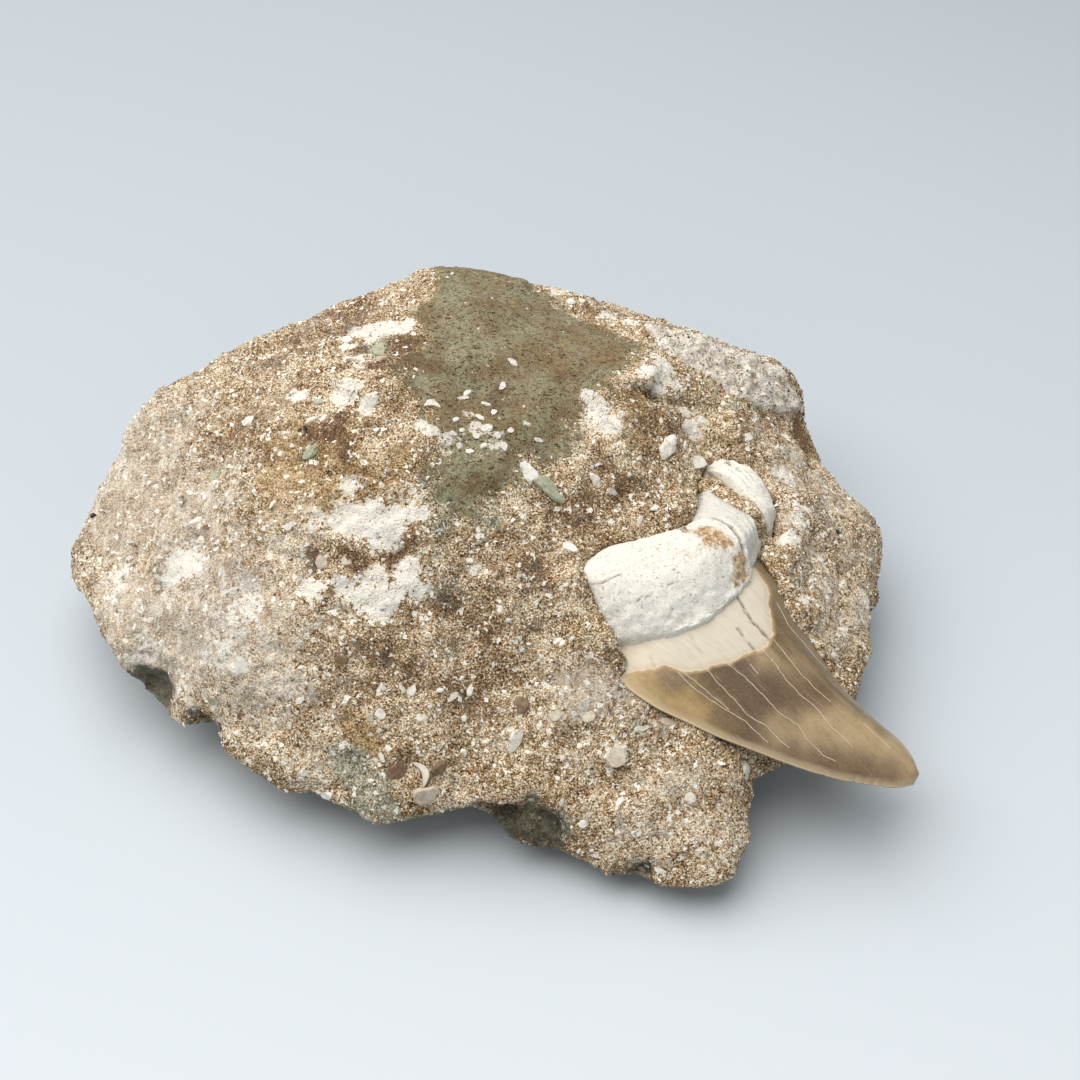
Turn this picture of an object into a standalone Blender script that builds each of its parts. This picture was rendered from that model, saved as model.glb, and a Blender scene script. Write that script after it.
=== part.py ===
"""A fossil shark tooth in its matrix, as found: a loose lump of shelly phosphate sand, and on its
right-hand slope the tooth, lingual face up, with its root bedded in the lump and its point free.

Metres, +Z up. The lump rests on a small flat spot at Z = 0, and the origin is under the middle of
the whole specimen. Sizes below are in millimetres, in the frame the lump is laid out in: X to the
right, Y away from the side where the point hangs over, Z up from the surface it rests on."""

import math

import bmesh
import bpy
import numpy as np
from mathutils import Vector, noise

MM = 0.001

# Lump: the rim where the upper surface turns down, walked clockwise from the back
RIM = [
    (-11.5, 53, 40), (4, 53, 37), (19.5, 51.5, 32.5), (33, 46.5, 31), (45.5, 41, 29.5),
    (56.5, 33, 26), (58, 31, 20.5), (64, 18.5, 18), (70, 5.5, 16), (66.5, -8, 15.5),
    (66, -15, 15.5), (64, -22, 15), (63.5, -28, 14.5), (51.5, -41.5, 12.5), (43.5, -44, 13),
    (41, -56, 10), (39.5, -60, 8), (32, -60, 8), (21, -57.5, 8), (13, -53.5, 9), (8.5, -50, 13.5),
    (0, -48.5, 14), (-7, -47.5, 12.5), (-18.5, -49.5, 12), (-30, -45.5, 12), (-43, -38.5, 12),
    (-52.5, -33.5, 12), (-57.5, -28, 12), (-63.5, -25, 12), (-65, -21, 16), (-71, -11.5, 17),
    (-74, -6, 17), (-77, 2.5, 17), (-74, 7, 20), (-72, 15, 22), (-68.5, 25, 26), (-64.5, 30.5, 28),
    (-57, 36.5, 30), (-46, 39.5, 33), (-37, 43, 35), (-28, 46, 37), (-18, 50.5, 39),
]
RIM_CENTRE = (-3, -3)

# Lump: heights on the upper surface, clear of the tooth
CROWN_OF_LUMP = [
    (-14, 40, 42.5), (4, 40, 40.5), (20, 36, 38), (34, 32, 35.5), (46, 27, 30.5), (-30, 32, 40),
    (-46, 24, 35), (-57, 14, 28.5), (-64, 3, 22.5), (-16, 24, 45), (0, 22, 44.5), (14, 20, 42.5),
    (28, 17, 39), (42, 16, 33.5), (56, 10, 25), (62, 0, 20), (-32, 14, 43), (-44, 4, 36.5),
    (-55, -6, 27), (-60, -14, 21), (-18, 4, 45), (-2, 4, 43.5), (12, 4, 40), (-30, -6, 39),
    (-42, -16, 30), (-50, -24, 21.5), (-14, -12, 38.5), (-1, -11, 36.5), (-24, -24, 29.5),
    (-34, -34, 20.5), (-8, -26, 28.5), (5, -24, 28.5), (-14, -38, 20.5), (2, -39, 19.5),
    (14, -40, 18.5), (25, -44, 16.5), (34, -51, 12.5), (20, -52, 12.5), (60, -13, 19.5),
    (54, -4, 24), (56, -12, 22), (59, -20, 18),
]

# Lump: lumps (+) and hollows (-) on it, as X, Y, height, two half-widths and the way the first runs
SWELLINGS = [
    (44, 34, 2.6, 9, 5, -28), (33, 37, 1.2, 6, 4, -20), (54, 25, -1.6, 5, 3, -60),
    (-3, 37, 1.2, 6, 4, 0), (26, 22, 1.0, 3, 2, 60), (-20, 17, 1.0, 7, 5, 10),
    (-18, -3, 1.4, 8, 4, 20), (-11, -15, 0.9, 6, 4, -10), (-35, 2, -1.2, 7, 5, 60),
    (-46, 12, -1.6, 8, 3, 62), (-52, 20, 1.2, 7, 3, 50), (-56, -2, 1.3, 9, 3, 70),
    (-66, -2, -1.4, 5, 4, 60), (-31, -22, 1.1, 8, 5, -20), (-22, -40, 1.0, 5, 4, 0),
    (-13, -43, -1.5, 2.6, 2.2, 0), (8, -33, -1.2, 6, 4, 20), (14, 9, -1.2, 6, 5, 30),
    (0, 14, -1.3, 6, 3, -30), (30, 8, -1.0, 5, 3, 20), (55, -4, -1.6, 3.5, 2.5, 20),
    (52, 4, 1.2, 5, 3, -30), (28, -49, 0.9, 6, 4, 10), (35, -57, -0.8, 4, 3, 0),
]

# Lump: how its sides go under, as compass angle, outward belly, and how hard they cut away below
SIDES = [
    (0, 1.5, 1.4), (40, 2, 1.3), (75, 3, 1.05), (110, 3, 1), (145, 2, 1.2), (175, 1, 1.6),
    (205, 0.5, 1.7), (235, 0.5, 1.8), (262, 0.5, 1.8), (285, 1, 1.5), (303, 1, 1.5), (330, 0.5, 1.7),
]
# Lump: ledges (+) and recesses (-) below the rim, as X, Y, Z, how far out, and radius
BELOW_RIM = [
    (5, -44, 4, 9.5, 6.5), (3, -48, 10.5, -4, 4), (-50, -33, 6, -3, 5), (-62, -20, 9, -4, 5),
    (-34, -34, 4, 2, 8), (48, -38, 7, -3, 6), (30, 47, 15, 4, 12), (-25, 44, 18, -3.5, 10),
    (60, 8, 8, 3, 9), (-60, 12, 8, 4, 10), (-5, 50, 22, 3, 9), (50, 30, 12, -3.5, 9),
    (22, -48, 2, 3, 8), (-30, 30, 5, 4, 9), (35, 15, 3, -3, 9),
]
RIM_ROUNDING = (0.045, 1.3)  # share of the way in over which the rim rounds off, and its drop
RELIEF_AT_RIM = 0.3  # share of the swellings' height left where they run out to the rim
EVENNESS = 2.0  # how freely the upper surface may pass by the heights above, for smoothness
FOOT_SHARE = 0.2  # of the way out from the middle, where the modelled foot ends
FOOT_DEPTH = 1.3  # how far the foot is modelled below the surface it is worn flat against
FOOT_FADE = 5  # height over which the relief below dies away towards the flat spot
LUMPY = [(11, 1), (5.2, 0.55)]  # size and height of the broken, sandy relief all over
CRAGGY = (21, 3)  # and of the larger breaks on the sides and underneath
CRAGGY_BELOW = 0.7  # upward tilt of the surface under which those breaks come in

AROUND = 150
TOP_RINGS = 38
SIDE_RINGS = 24
KEPT_SHARE = 0.28  # of the triangles, once flat places have given theirs up

# Tooth: where its crown meets its root, and how it lies
TOOTH_AT = (37.2, -19.5, 22.0)
TIP_HEADING = -55.2  # degrees, of the crown's axis seen from above
TIP_DIP = 9.5
TOOTH_ROLL = 5.9  # its right edge is the lower one

# Tooth: outline of the crown, as distances right of and beyond the point above
LEFT_EDGE = [
    (-17, -8), (-20.2, 0.2), (-18.6, 6.8), (-15.2, 12.7), (-12.1, 17.7), (-8.9, 22), (-5.8, 26.2),
    (-2.6, 30.2), (0.9, 33.9), (4.8, 37.3), (8.7, 40), (11.6, 41),
]
RIGHT_EDGE = [
    (17.5, -7), (18.4, 0), (17, 4), (15, 9), (13.6, 14), (12.9, 19), (13.1, 24), (13.9, 28.7),
    (14.9, 33.2), (14.8, 36.8), (13.7, 39.8),
]
CROWN_BULGE = (0.6, 0.205)  # least rise of the lingual face, and its share of the crown's width
CROWN_BACK = (0.3, 0.05)
EDGE_HALF = 0.25  # half the thickness of a cutting edge
RIDGE_ACROSS = 0.61  # share of the width, from the left, where that face is highest
CROWN_FULLNESS = (1.15, 0.8, 0.6)  # left of the ridge, right of it and on the back: less is fuller
CROWN_STATIONS = 23
CLOSER_AT_POINT = 0.85  # below 1, its stations crowd towards the point
CROWN_RING = 13

# Tooth: root, as points along its two lobes, half-width, and how high and low it reaches
ROOT = [
    (-17.2, -11.4, 7.6, 5.6, -1.6), (-16, -11.2, 9.2, 7.2, -2.2), (-13, -10.4, 10.4, 8.2, -2.6),
    (-9, -9.2, 10.6, 9.6, -2.9), (-4, -7.6, 10.3, 11.4, -3.1), (1.8, -6.6, 9.9, 12.8, -3.2),
    (7.4, -8, 9.4, 12, -3.1), (12.8, -12.2, 8.8, 10.2, -2.8), (17.4, -17.5, 7.4, 8.2, -2.4),
    (19.9, -22.2, 5.4, 6.6, -1.8), (20.3, -26, 2.6, 4.4, -0.6),
]
ROOT_STATIONS = 29
ROOT_RING = 26
ROOT_SQUARE = 3  # exponent of its rounded section: 2 is an ellipse
CRACK = [
    (15.6, -23.4, 7), (16.2, -19.6, 8.2), (16, -15, 8.8), (15.4, -9.8, 9), (13.8, -6, 9),
    (11, -2.4, 8.6),
]
CRACK_WIDTH = 3.4

GAP = 0.35  # between the tooth and the bed it lies in

# Lump: where its sand meets the tooth, in the tooth's own frame
CONTACT = [
    (-16.4, -18.8, 5.6), (-19, -13.4, 4), (-20, -7.5, 3.2), (-20.6, -3, 2.4), (-21, 0.6, 0.5),
    (-19.6, 6.6, -0.8), (-15.9, 13.2, -1), (-12.7, 18.4, -1.4), (-9.4, 22.8, -1.8), (-2, 14, -4),
    (4, 24, -4), (11.2, 1.5, 6.3), (10.4, 5, 6.2), (10.4, 9.2, 5), (10.7, 12.6, 4),
    (11.6, 15.7, 2.4), (12.9, 19.8, 0.4), (13.6, 24, -0.9), (16.6, -27.5, 6), (21, -28.2, 5.4),
    (25.4, -22, 5), (25.6, -16.5, 5), (23.6, -11, 5.2), (20.6, -7, 5.6), (15.4, -2.4, 6.2),
    (-11.2, -20.4, 6), (-6, -19.4, 6.8), (-1, -17.6, 7.2), (4, -17.8, 7.6), (9.6, -20.8, 7.4),
    (-8, -8, 2), (6, -8, 2), (-12, 4, -3), (17, -16, 2),
]


def smooth_line(points, count, bias=1.0):
    """Evenly spaced places on the curve through a line of points, of any number of values each."""
    rows = np.array(points, float)
    rows = np.vstack([2 * rows[0] - rows[1], rows, 2 * rows[-1] - rows[-2]])
    fine = []
    for before, a, b, after in zip(rows, rows[1:], rows[2:], rows[3:]):
        for t in np.linspace(0, 1, 12, endpoint=False):
            fine.append(
                a + t * (b - before) / 2
                + t**2 * (before - 2.5 * a + 2 * b - after / 2)
                + t**3 * (1.5 * (a - b) + (after - before) / 2)
            )
    fine = np.array(fine + [rows[-2]])
    reach = np.concatenate([[0], np.cumsum(np.linalg.norm(np.diff(fine[:, :2], axis=0), axis=1))])
    wanted = np.linspace(0, 1, count) ** bias * reach[-1]
    return np.stack([np.interp(wanted, reach, column) for column in fine.T], axis=-1)


def tooth_axes():
    """The tooth's own directions: across to its right, along to its point, and out of its face."""
    heading = math.radians(TIP_HEADING)
    dip = math.radians(TIP_DIP)
    roll = math.radians(TOOTH_ROLL)
    point = np.array([
        math.cos(dip) * math.cos(heading), math.cos(dip) * math.sin(heading), -math.sin(dip)
    ])
    level = np.array([-math.sin(heading), math.cos(heading), 0.0])
    face = np.cross(point, level)
    across = level * math.cos(roll) - face * math.sin(roll)
    return across, point, np.cross(point, across)


def lay(points):
    """Places given in the tooth's own frame, where they lie on the lump."""
    return np.array(TOOTH_AT) + np.asarray(points, float) @ np.array(tooth_axes())


def made(name, corners, faces, material=None):
    """An object from corners in millimetres, its faces turned outwards."""
    mesh = bpy.data.meshes.new(name)
    mesh.from_pydata((np.asarray(corners) * MM).tolist(), [], faces)
    shape = bmesh.new()
    shape.from_mesh(mesh)
    bmesh.ops.remove_doubles(shape, verts=shape.verts, dist=1e-6)
    bmesh.ops.recalc_face_normals(shape, faces=shape.faces)
    shape.to_mesh(mesh)
    shape.free()
    obj = bpy.data.objects.new(name, mesh)
    bpy.context.scene.collection.objects.link(obj)
    if material:
        mesh.materials.append(material)
    return obj


def rings_to_faces(rings, ring, close_first=True, close_last=True):
    """Quads between successive rings of corners, and a cap on each end."""
    faces = []
    for row in range(rings - 1):
        for i in range(ring):
            j = (i + 1) % ring
            low = row * ring
            high = low + ring
            faces.append((low + i, low + j, high + j, high + i))
    if close_first:
        faces.append(tuple(range(ring)))
    if close_last:
        faces.append(tuple(range((rings - 1) * ring, rings * ring)))
    return faces


def crown(name, grow=0.0, material=None):
    """The crown: a flat labial face and a swollen lingual one, meeting in two thin cutting edges."""
    left = smooth_line(LEFT_EDGE, CROWN_STATIONS, CLOSER_AT_POINT)
    right = smooth_line(RIGHT_EDGE, CROWN_STATIONS, CLOSER_AT_POINT)
    out = (right - left) / np.linalg.norm(right - left, axis=1)[:, None]
    end = (left[-1] + right[-1] - left[-2] - right[-2]) / 2
    end *= grow / np.linalg.norm(end)
    left -= out * grow
    right += out * grow
    left[-1] += end
    right[-1] += end
    corners = []
    turn = np.linspace(0, 1, CROWN_RING)
    peak = np.where(turn < RIDGE_ACROSS, turn / RIDGE_ACROSS, (1 - turn) / (1 - RIDGE_ACROSS))
    fullness = np.where(turn < RIDGE_ACROSS, CROWN_FULLNESS[0], CROWN_FULLNESS[1])
    front = np.sin(peak * np.pi / 2) ** fullness
    back = np.sin(turn * np.pi) ** CROWN_FULLNESS[2]
    for a, b, across in zip(left, right, np.linalg.norm(right - left, axis=1)):
        rise = CROWN_BULGE[0] + CROWN_BULGE[1] * across + grow
        sink = CROWN_BACK[0] + CROWN_BACK[1] * across + grow
        edge = EDGE_HALF + grow
        for i in range(CROWN_RING):
            place = a + (b - a) * turn[i]
            corners.append((*place, max(edge, rise * front[i])))
        for i in reversed(range(CROWN_RING)):
            place = a + (b - a) * turn[i]
            corners.append((*place, -max(edge, sink * back[i])))
    faces = rings_to_faces(CROWN_STATIONS, 2 * CROWN_RING)
    return made(name, lay(corners), faces, material)


def root(name, grow=0.0):
    """The root: one rounded bar, thickest in the middle, bent into a short left and a right lobe."""
    rows = smooth_line(ROOT, ROOT_STATIONS)
    spine = rows[:, :2]
    ahead = np.gradient(spine, axis=0)
    ahead /= np.linalg.norm(ahead, axis=1)[:, None]
    spine[0] -= ahead[0] * grow
    spine[-1] += ahead[-1] * grow
    side = np.stack([-ahead[:, 1], ahead[:, 0]], axis=1)
    turn = np.linspace(0, 2 * np.pi, ROOT_RING, endpoint=False)
    reach = np.sign(np.cos(turn)) * np.abs(np.cos(turn)) ** (2 / ROOT_SQUARE)
    lift = np.sign(np.sin(turn)) * np.abs(np.sin(turn)) ** (2 / ROOT_SQUARE)
    corners = []
    for place, normal, (half, high, low) in zip(spine, side, rows[:, 2:]):
        middle = (high + low) / 2
        tall = (high - low) / 2 + grow
        for i in range(ROOT_RING):
            flat = place + normal * (half + grow) * reach[i]
            corners.append((*flat, middle + tall * lift[i]))
    return made(name, lay(corners), rings_to_faces(ROOT_STATIONS, ROOT_RING))


def crack():
    """The open crack along the right lobe, as the round bar that clears it."""
    path = lay(CRACK) * MM
    curve = bpy.data.curves.new("root_crack_path", "CURVE")
    curve.dimensions = "3D"
    curve.bevel_depth = CRACK_WIDTH / 2 * MM
    curve.bevel_resolution = 2
    curve.use_fill_caps = True
    spline = curve.splines.new("POLY")
    spline.points.add(len(path) - 1)
    for point, place in zip(spline.points, path):
        point.co = (*place, 1)
    guide = bpy.data.objects.new("root_crack_path", curve)
    bpy.context.scene.collection.objects.link(guide)
    solid = bpy.data.meshes.new_from_object(guide.evaluated_get(bpy.context.evaluated_depsgraph_get()))
    bpy.data.objects.remove(guide)
    obj = bpy.data.objects.new("root_crack", solid)
    bpy.context.scene.collection.objects.link(obj)
    return obj


def thin_plate(points):
    """A smooth height over X and Y that passes close to every (X, Y, height)."""
    known = np.array(points, float)

    def bend(x, y):
        square = (x[:, None] - known[:, 0]) ** 2 + (y[:, None] - known[:, 1]) ** 2
        return np.where(square > 0, square * np.log(np.maximum(square, 1e-12)), 0) / 2

    count = len(known)
    flat = np.column_stack([np.ones(count), known[:, :2]])
    system = np.zeros((count + 3, count + 3))
    system[:count, :count] = bend(known[:, 0], known[:, 1]) + np.eye(count) * EVENNESS
    system[:count, count:] = flat
    system[count:, :count] = flat.T
    weights = np.linalg.solve(system, np.concatenate([known[:, 2], np.zeros(3)]))

    def height(x, y):
        return bend(x, y) @ weights[:count] + weights[count] + weights[-2] * x + weights[-1] * y

    return height


def swell(x, y):
    """The lumps and hollows of the upper surface, added up."""
    total = np.zeros_like(x)
    for at_x, at_y, height, first, second, way in SWELLINGS:
        turned = math.radians(way)
        dx, dy = x - at_x, y - at_y
        a = (dx * math.cos(turned) + dy * math.sin(turned)) / first
        b = (dy * math.cos(turned) - dx * math.sin(turned)) / second
        total += height * np.exp(-(a * a + b * b))
    return total


def round_rim(angles):
    """Radius and height of the rim at each compass angle about its centre."""
    rim = np.array(RIM, float)
    away = rim[:, :2] - RIM_CENTRE
    bearing = np.degrees(np.arctan2(away[:, 1], away[:, 0])) % 360
    order = np.argsort(bearing)
    radius = np.interp(angles, bearing[order], np.linalg.norm(away, axis=1)[order], period=360)
    height = np.interp(angles, bearing[order], rim[order, 2], period=360)
    return radius, height


def lump_corners():
    """Rings of corners: out over the upper surface to the rim, then down and in to the foot."""
    angles = np.arange(AROUND) * 360 / AROUND
    radius, rim_height = round_rim(angles)
    ways = np.stack([np.cos(np.radians(angles)), np.sin(np.radians(angles))], axis=1)
    height = thin_plate(RIM + CROWN_OF_LUMP + lay(CONTACT).tolist())
    rings = []
    rounding, drop = RIM_ROUNDING
    for share in np.linspace(0.02, 1, TOP_RINGS):
        flat = RIM_CENTRE + ways * (radius * share)[:, None]
        relief = min(1, 6 * (1 - share) + RELIEF_AT_RIM)
        rise = height(flat[:, 0], flat[:, 1]) + swell(flat[:, 0], flat[:, 1]) * relief
        # The last few rings round over into the side.
        over = max(0.0, (share - 1 + rounding) / rounding)
        rings.append(np.column_stack([flat, rise - drop * over**2]))
    sides = np.array(SIDES, float)
    belly = np.interp(angles, sides[:, 0], sides[:, 1], period=360)
    cut_away = np.interp(angles, sides[:, 0], sides[:, 2], period=360)
    top = rings[-1][:, 2]
    for step in range(1, SIDE_RINGS + 1):
        turn = math.pi / 2 * step / SIDE_RINGS
        reach = FOOT_SHARE + (1 - FOOT_SHARE) * max(0.0, math.cos(turn)) ** cut_away
        flat = RIM_CENTRE + ways * (radius * reach + belly * math.sin(2 * turn))[:, None]
        rings.append(np.column_stack([flat, top - (top + FOOT_DEPTH) * math.sin(turn)]))
    corners = np.concatenate(rings)
    below = np.arange(len(corners)) >= TOP_RINGS * AROUND
    for x, y, z, out, size in BELOW_RIM:
        distance = np.linalg.norm(corners - (x, y, z), axis=1)
        push = np.where(below, out * np.exp(-((distance / size) ** 2)), 0)
        away = corners[:, :2] - RIM_CENTRE
        away /= np.linalg.norm(away, axis=1)[:, None]
        corners[:, :2] += away * push[:, None]
    return corners


def lump(material):
    """The lump of matrix, its relief pushed out along its own surface, thinned where it is flat."""
    rings = TOP_RINGS + SIDE_RINGS
    faces = rings_to_faces(rings, AROUND)
    obj = made("matrix", lump_corners(), faces, material)
    whole = [(v.co / MM, v.normal.copy()) for v in obj.data.vertices]
    for vertex, (place, normal) in zip(obj.data.vertices, whole):
        push = sum(tall * noise.noise(place / size) for size, tall in LUMPY)
        side = min(1, max(0, CRAGGY_BELOW - normal.z))
        push += side * CRAGGY[1] * noise.noise(place / CRAGGY[0])
        above_foot = min(1, max(0, (place.z + FOOT_DEPTH) / FOOT_FADE))
        vertex.co += normal * push * above_foot * MM
    thin = obj.modifiers.new("thin", "DECIMATE")
    thin.ratio = KEPT_SHARE
    return obj


def floor_block():
    """The block below Z = 0 that gives the lump its worn flat spot."""
    shape = bmesh.new()
    bmesh.ops.create_cube(shape, size=1)
    bmesh.ops.scale(shape, vec=(240 * MM, 240 * MM, 20 * MM), verts=shape.verts)
    bmesh.ops.translate(shape, vec=(0, 0, -10 * MM), verts=shape.verts)
    mesh = bpy.data.meshes.new("flat_spot")
    shape.to_mesh(mesh)
    shape.free()
    obj = bpy.data.objects.new("flat_spot", mesh)
    bpy.context.scene.collection.objects.link(obj)
    return obj


def combine(obj, other, operation, crossing=False):
    """A live Boolean, with the other body kept as a guide, which may cross itself in a tight bend."""
    joined = obj.modifiers.new(other.name, "BOOLEAN")
    joined.operation = operation
    joined.solver = "EXACT"
    joined.use_self = crossing
    joined.object = other
    other.hide_render = True
    other.display_type = "WIRE"


def finish(name, colour, roughness):
    material = bpy.data.materials.new(name)
    material.use_nodes = True
    shader = material.node_tree.nodes["Principled BSDF"]
    shader.inputs["Base Color"].default_value = (*colour, 1)
    shader.inputs["Roughness"].default_value = roughness
    shader.inputs["Metallic"].default_value = 0.0
    return material


def stand_over_origin(objects, guides):
    """Everything moved sideways together, so that the specimen's middle is at the origin."""
    graph = bpy.context.evaluated_depsgraph_get()
    corners = []
    for obj in objects:
        cut = obj.evaluated_get(graph)
        corners += [cut.matrix_world @ Vector(corner) for corner in cut.bound_box]
    middle = [(min(c[i] for c in corners) + max(c[i] for c in corners)) / 2 for i in (0, 1)]
    specimen = bpy.data.objects.new("specimen", None)
    bpy.context.scene.collection.objects.link(specimen)
    specimen.location = (-middle[0], -middle[1], 0)
    for obj in objects + guides:
        obj.parent = specimen


for old in list(bpy.data.objects):
    bpy.data.objects.remove(old)

sand = finish("shelly phosphate sand", (0.38, 0.29, 0.18), 0.95)
enamel_and_bone = finish("fossil enamel and bone", (0.46, 0.38, 0.27), 0.5)

tooth = crown("tooth", material=enamel_and_bone)
tooth_root = root("tooth_root")
root_crack = crack()
combine(tooth, tooth_root, "UNION", crossing=True)
combine(tooth, root_crack, "DIFFERENCE")

bed = crown("tooth_bed", grow=GAP)
root_bed = root("root_bed", grow=GAP)
combine(bed, root_bed, "UNION", crossing=True)

matrix = lump(sand)
flat_spot = floor_block()
combine(matrix, flat_spot, "DIFFERENCE")
combine(matrix, bed, "DIFFERENCE")

stand_over_origin([matrix, tooth], [tooth_root, root_crack, bed, root_bed, flat_spot])
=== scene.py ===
"""A fossil shark tooth in its lump of shelly sand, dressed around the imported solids."""

import math

import bmesh
import bpy
import numpy as np
from mathutils import Matrix, Vector, noise
from mathutils.bvhtree import BVHTree


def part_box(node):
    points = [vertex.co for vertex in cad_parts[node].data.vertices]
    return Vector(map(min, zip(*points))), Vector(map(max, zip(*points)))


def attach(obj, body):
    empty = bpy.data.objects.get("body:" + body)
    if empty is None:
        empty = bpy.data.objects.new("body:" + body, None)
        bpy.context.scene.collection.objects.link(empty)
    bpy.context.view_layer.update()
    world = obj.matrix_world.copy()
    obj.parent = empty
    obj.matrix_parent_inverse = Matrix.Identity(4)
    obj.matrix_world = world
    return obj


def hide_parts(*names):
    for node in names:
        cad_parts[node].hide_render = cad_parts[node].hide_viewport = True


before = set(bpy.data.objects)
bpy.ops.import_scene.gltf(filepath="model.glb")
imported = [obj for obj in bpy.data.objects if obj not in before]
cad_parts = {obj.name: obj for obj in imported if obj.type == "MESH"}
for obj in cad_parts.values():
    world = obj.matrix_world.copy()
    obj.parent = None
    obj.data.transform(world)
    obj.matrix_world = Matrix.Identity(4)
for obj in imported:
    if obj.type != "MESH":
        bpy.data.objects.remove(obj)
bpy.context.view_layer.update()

# The camera stands in front of the specimen's long side and looks down at 50 degrees, as the
# photograph was taken. Some details below are given by the pixel they are seen at in that picture,
# and lie where the line of sight through it meets the specimen.
MM = 0.001
PICTURE_SIDE = 1080
LENS = 65
SENSOR = 36
CAMERA_AT = Vector((11.03, -219.22, 286.29)) * MM
CAMERA_PITCH = math.radians(40)

camera = bpy.data.objects.new("camera", bpy.data.cameras.new("camera"))
bpy.context.scene.collection.objects.link(camera)
camera.data.lens = LENS
camera.data.sensor_width = SENSOR
camera.data.clip_start = 0.01
camera.location = CAMERA_AT
camera.rotation_euler = (CAMERA_PITCH, 0, 0)
bpy.context.scene.camera = camera


def sight(px, py):
    """Direction in which the camera sees a pixel of the picture."""
    focal = LENS / SENSOR * PICTURE_SIDE
    across = (px - PICTURE_SIDE / 2) / focal
    up = (PICTURE_SIDE / 2 - py) / focal
    ahead = Vector((across, up, -1)).normalized()
    ahead.rotate(camera.rotation_euler)
    return ahead


def meet(surface, px, py):
    """Where a surface shows at a pixel, and its outward direction there."""
    place, outward, _, _ = surface.ray_cast(CAMERA_AT, sight(px, py))
    return place, outward


def meet_all(surface, pixels):
    """The places, in millimetres, that show at a row of pixels. Those that miss are left out."""
    places = [meet(surface, *pixel)[0] for pixel in pixels]
    return np.array([place / MM for place in places if place is not None])


# The lump of matrix: loose phosphate sand, cemented while it was buried, and broken out of its bed.
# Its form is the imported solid's, whose facets are smoothed here and roughened again as sand breaks,
# down to half a millimetre: grainy all over, craggy below, smooth where it is clayey.
GRAIN_OF_MESH = 0.5  # millimetres between corners of its mesh
SMOOTHINGS = 14
FIRM_FROM = (0.3, 3.0)  # heights over the floor between which the relief sets in
TOP_TRIANGLES = 190_000
COARSER_BELOW = 0.1  # upward tilt of the surface under which its mesh may be thinned


def mesh_object(name, mesh):
    obj = bpy.data.objects.new(name, mesh)
    bpy.context.scene.collection.objects.link(obj)
    return obj


def applied(obj):
    """The object's mesh with its modifiers applied, and the modifiers gone."""
    graph = bpy.context.evaluated_depsgraph_get()
    mesh = bpy.data.meshes.new_from_object(obj.evaluated_get(graph))
    obj.modifiers.clear()
    old = obj.data
    obj.data = mesh
    bpy.data.meshes.remove(old)
    return obj


def corners_of(mesh):
    """The mesh's corners, in millimetres, and its normals at them."""
    places = np.empty(len(mesh.vertices) * 3)
    mesh.vertices.foreach_get("co", places)
    normals = np.empty(len(mesh.vertices) * 3)
    mesh.vertex_normals.foreach_get("vector", normals)
    return places.reshape(-1, 3) / MM, normals.reshape(-1, 3)


def move_corners(mesh, places):
    mesh.vertices.foreach_set("co", (places * MM).ravel())
    mesh.update()


def surface_of(obj):
    obj.data.calc_loop_triangles()
    triangles = [tuple(triangle.vertices) for triangle in obj.data.loop_triangles]
    return BVHTree.FromPolygons([corner.co for corner in obj.data.vertices], triangles)


def smooth_step(value, low, high):
    share = np.clip((value - low) / (high - low), 0, 1)
    return share * share * (3 - 2 * share)


def rough(places, size, seed=0.0):
    """Soft noise from -1 to 1 with features of a given size, at each place."""
    shifted = places / size + seed
    return np.array([noise.noise(place) for place in shifted.tolist()])


def roughened(level, places, *layers):
    """A level with soft noises added to it, each by its height, its size and its seed."""
    for height, size, seed in layers:
        level = level + height * rough(places, size, seed)
    return level


def along(places, line, closed=False):
    """Distance of each place from a line through points."""
    nearest = np.full(len(places), 1e9)
    ends = list(zip(line[:-1], line[1:]))
    if closed:
        ends.append((line[-1], line[0]))
    for a, b in ends:
        run = b - a
        share = np.clip((places - a) @ run / (run @ run), 0, 1)
        nearest = np.minimum(nearest, np.linalg.norm(places - a - share[:, None] * run, axis=1))
    return nearest


def inside(places, outline):
    """How far each place is inside an outline, seen from above; outside it the distance is negative."""
    flat = places[:, :2]
    outline = np.asarray(outline, float)[:, :2]
    within = np.zeros(len(flat), bool)
    for a, b in zip(outline, np.roll(outline, -1, axis=0)):
        crossing = (a[1] > flat[:, 1]) != (b[1] > flat[:, 1])
        with np.errstate(divide="ignore", invalid="ignore"):
            at = (b[0] - a[0]) * (flat[:, 1] - a[1]) / (b[1] - a[1]) + a[0]
        within ^= crossing & (flat[:, 0] < at)
    distance = along(flat, outline, closed=True)
    return np.where(within, distance, -distance)


def store(mesh, name, values):
    """A named value or place at each corner, for materials and scattering to read."""
    values = np.asarray(values, np.float32)
    kind, field = ("FLOAT_VECTOR", "vector") if values.ndim == 2 else ("FLOAT", "value")
    mesh.attributes.new(name, kind, "POINT").data.foreach_set(field, values.ravel())


lump = mesh_object("matrix_sand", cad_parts["matrix"].data.copy())
shape = bmesh.new()
shape.from_mesh(lump.data)
bmesh.ops.remove_doubles(shape, verts=shape.verts, dist=1e-6)
shape.to_mesh(lump.data)
shape.free()
remesh = lump.modifiers.new("remesh", "REMESH")
remesh.mode = "VOXEL"
remesh.voxel_size = GRAIN_OF_MESH * MM
evened = lump.modifiers.new("evened", "SMOOTH")
evened.factor = 0.5
evened.iterations = SMOOTHINGS
applied(lump)

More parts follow.
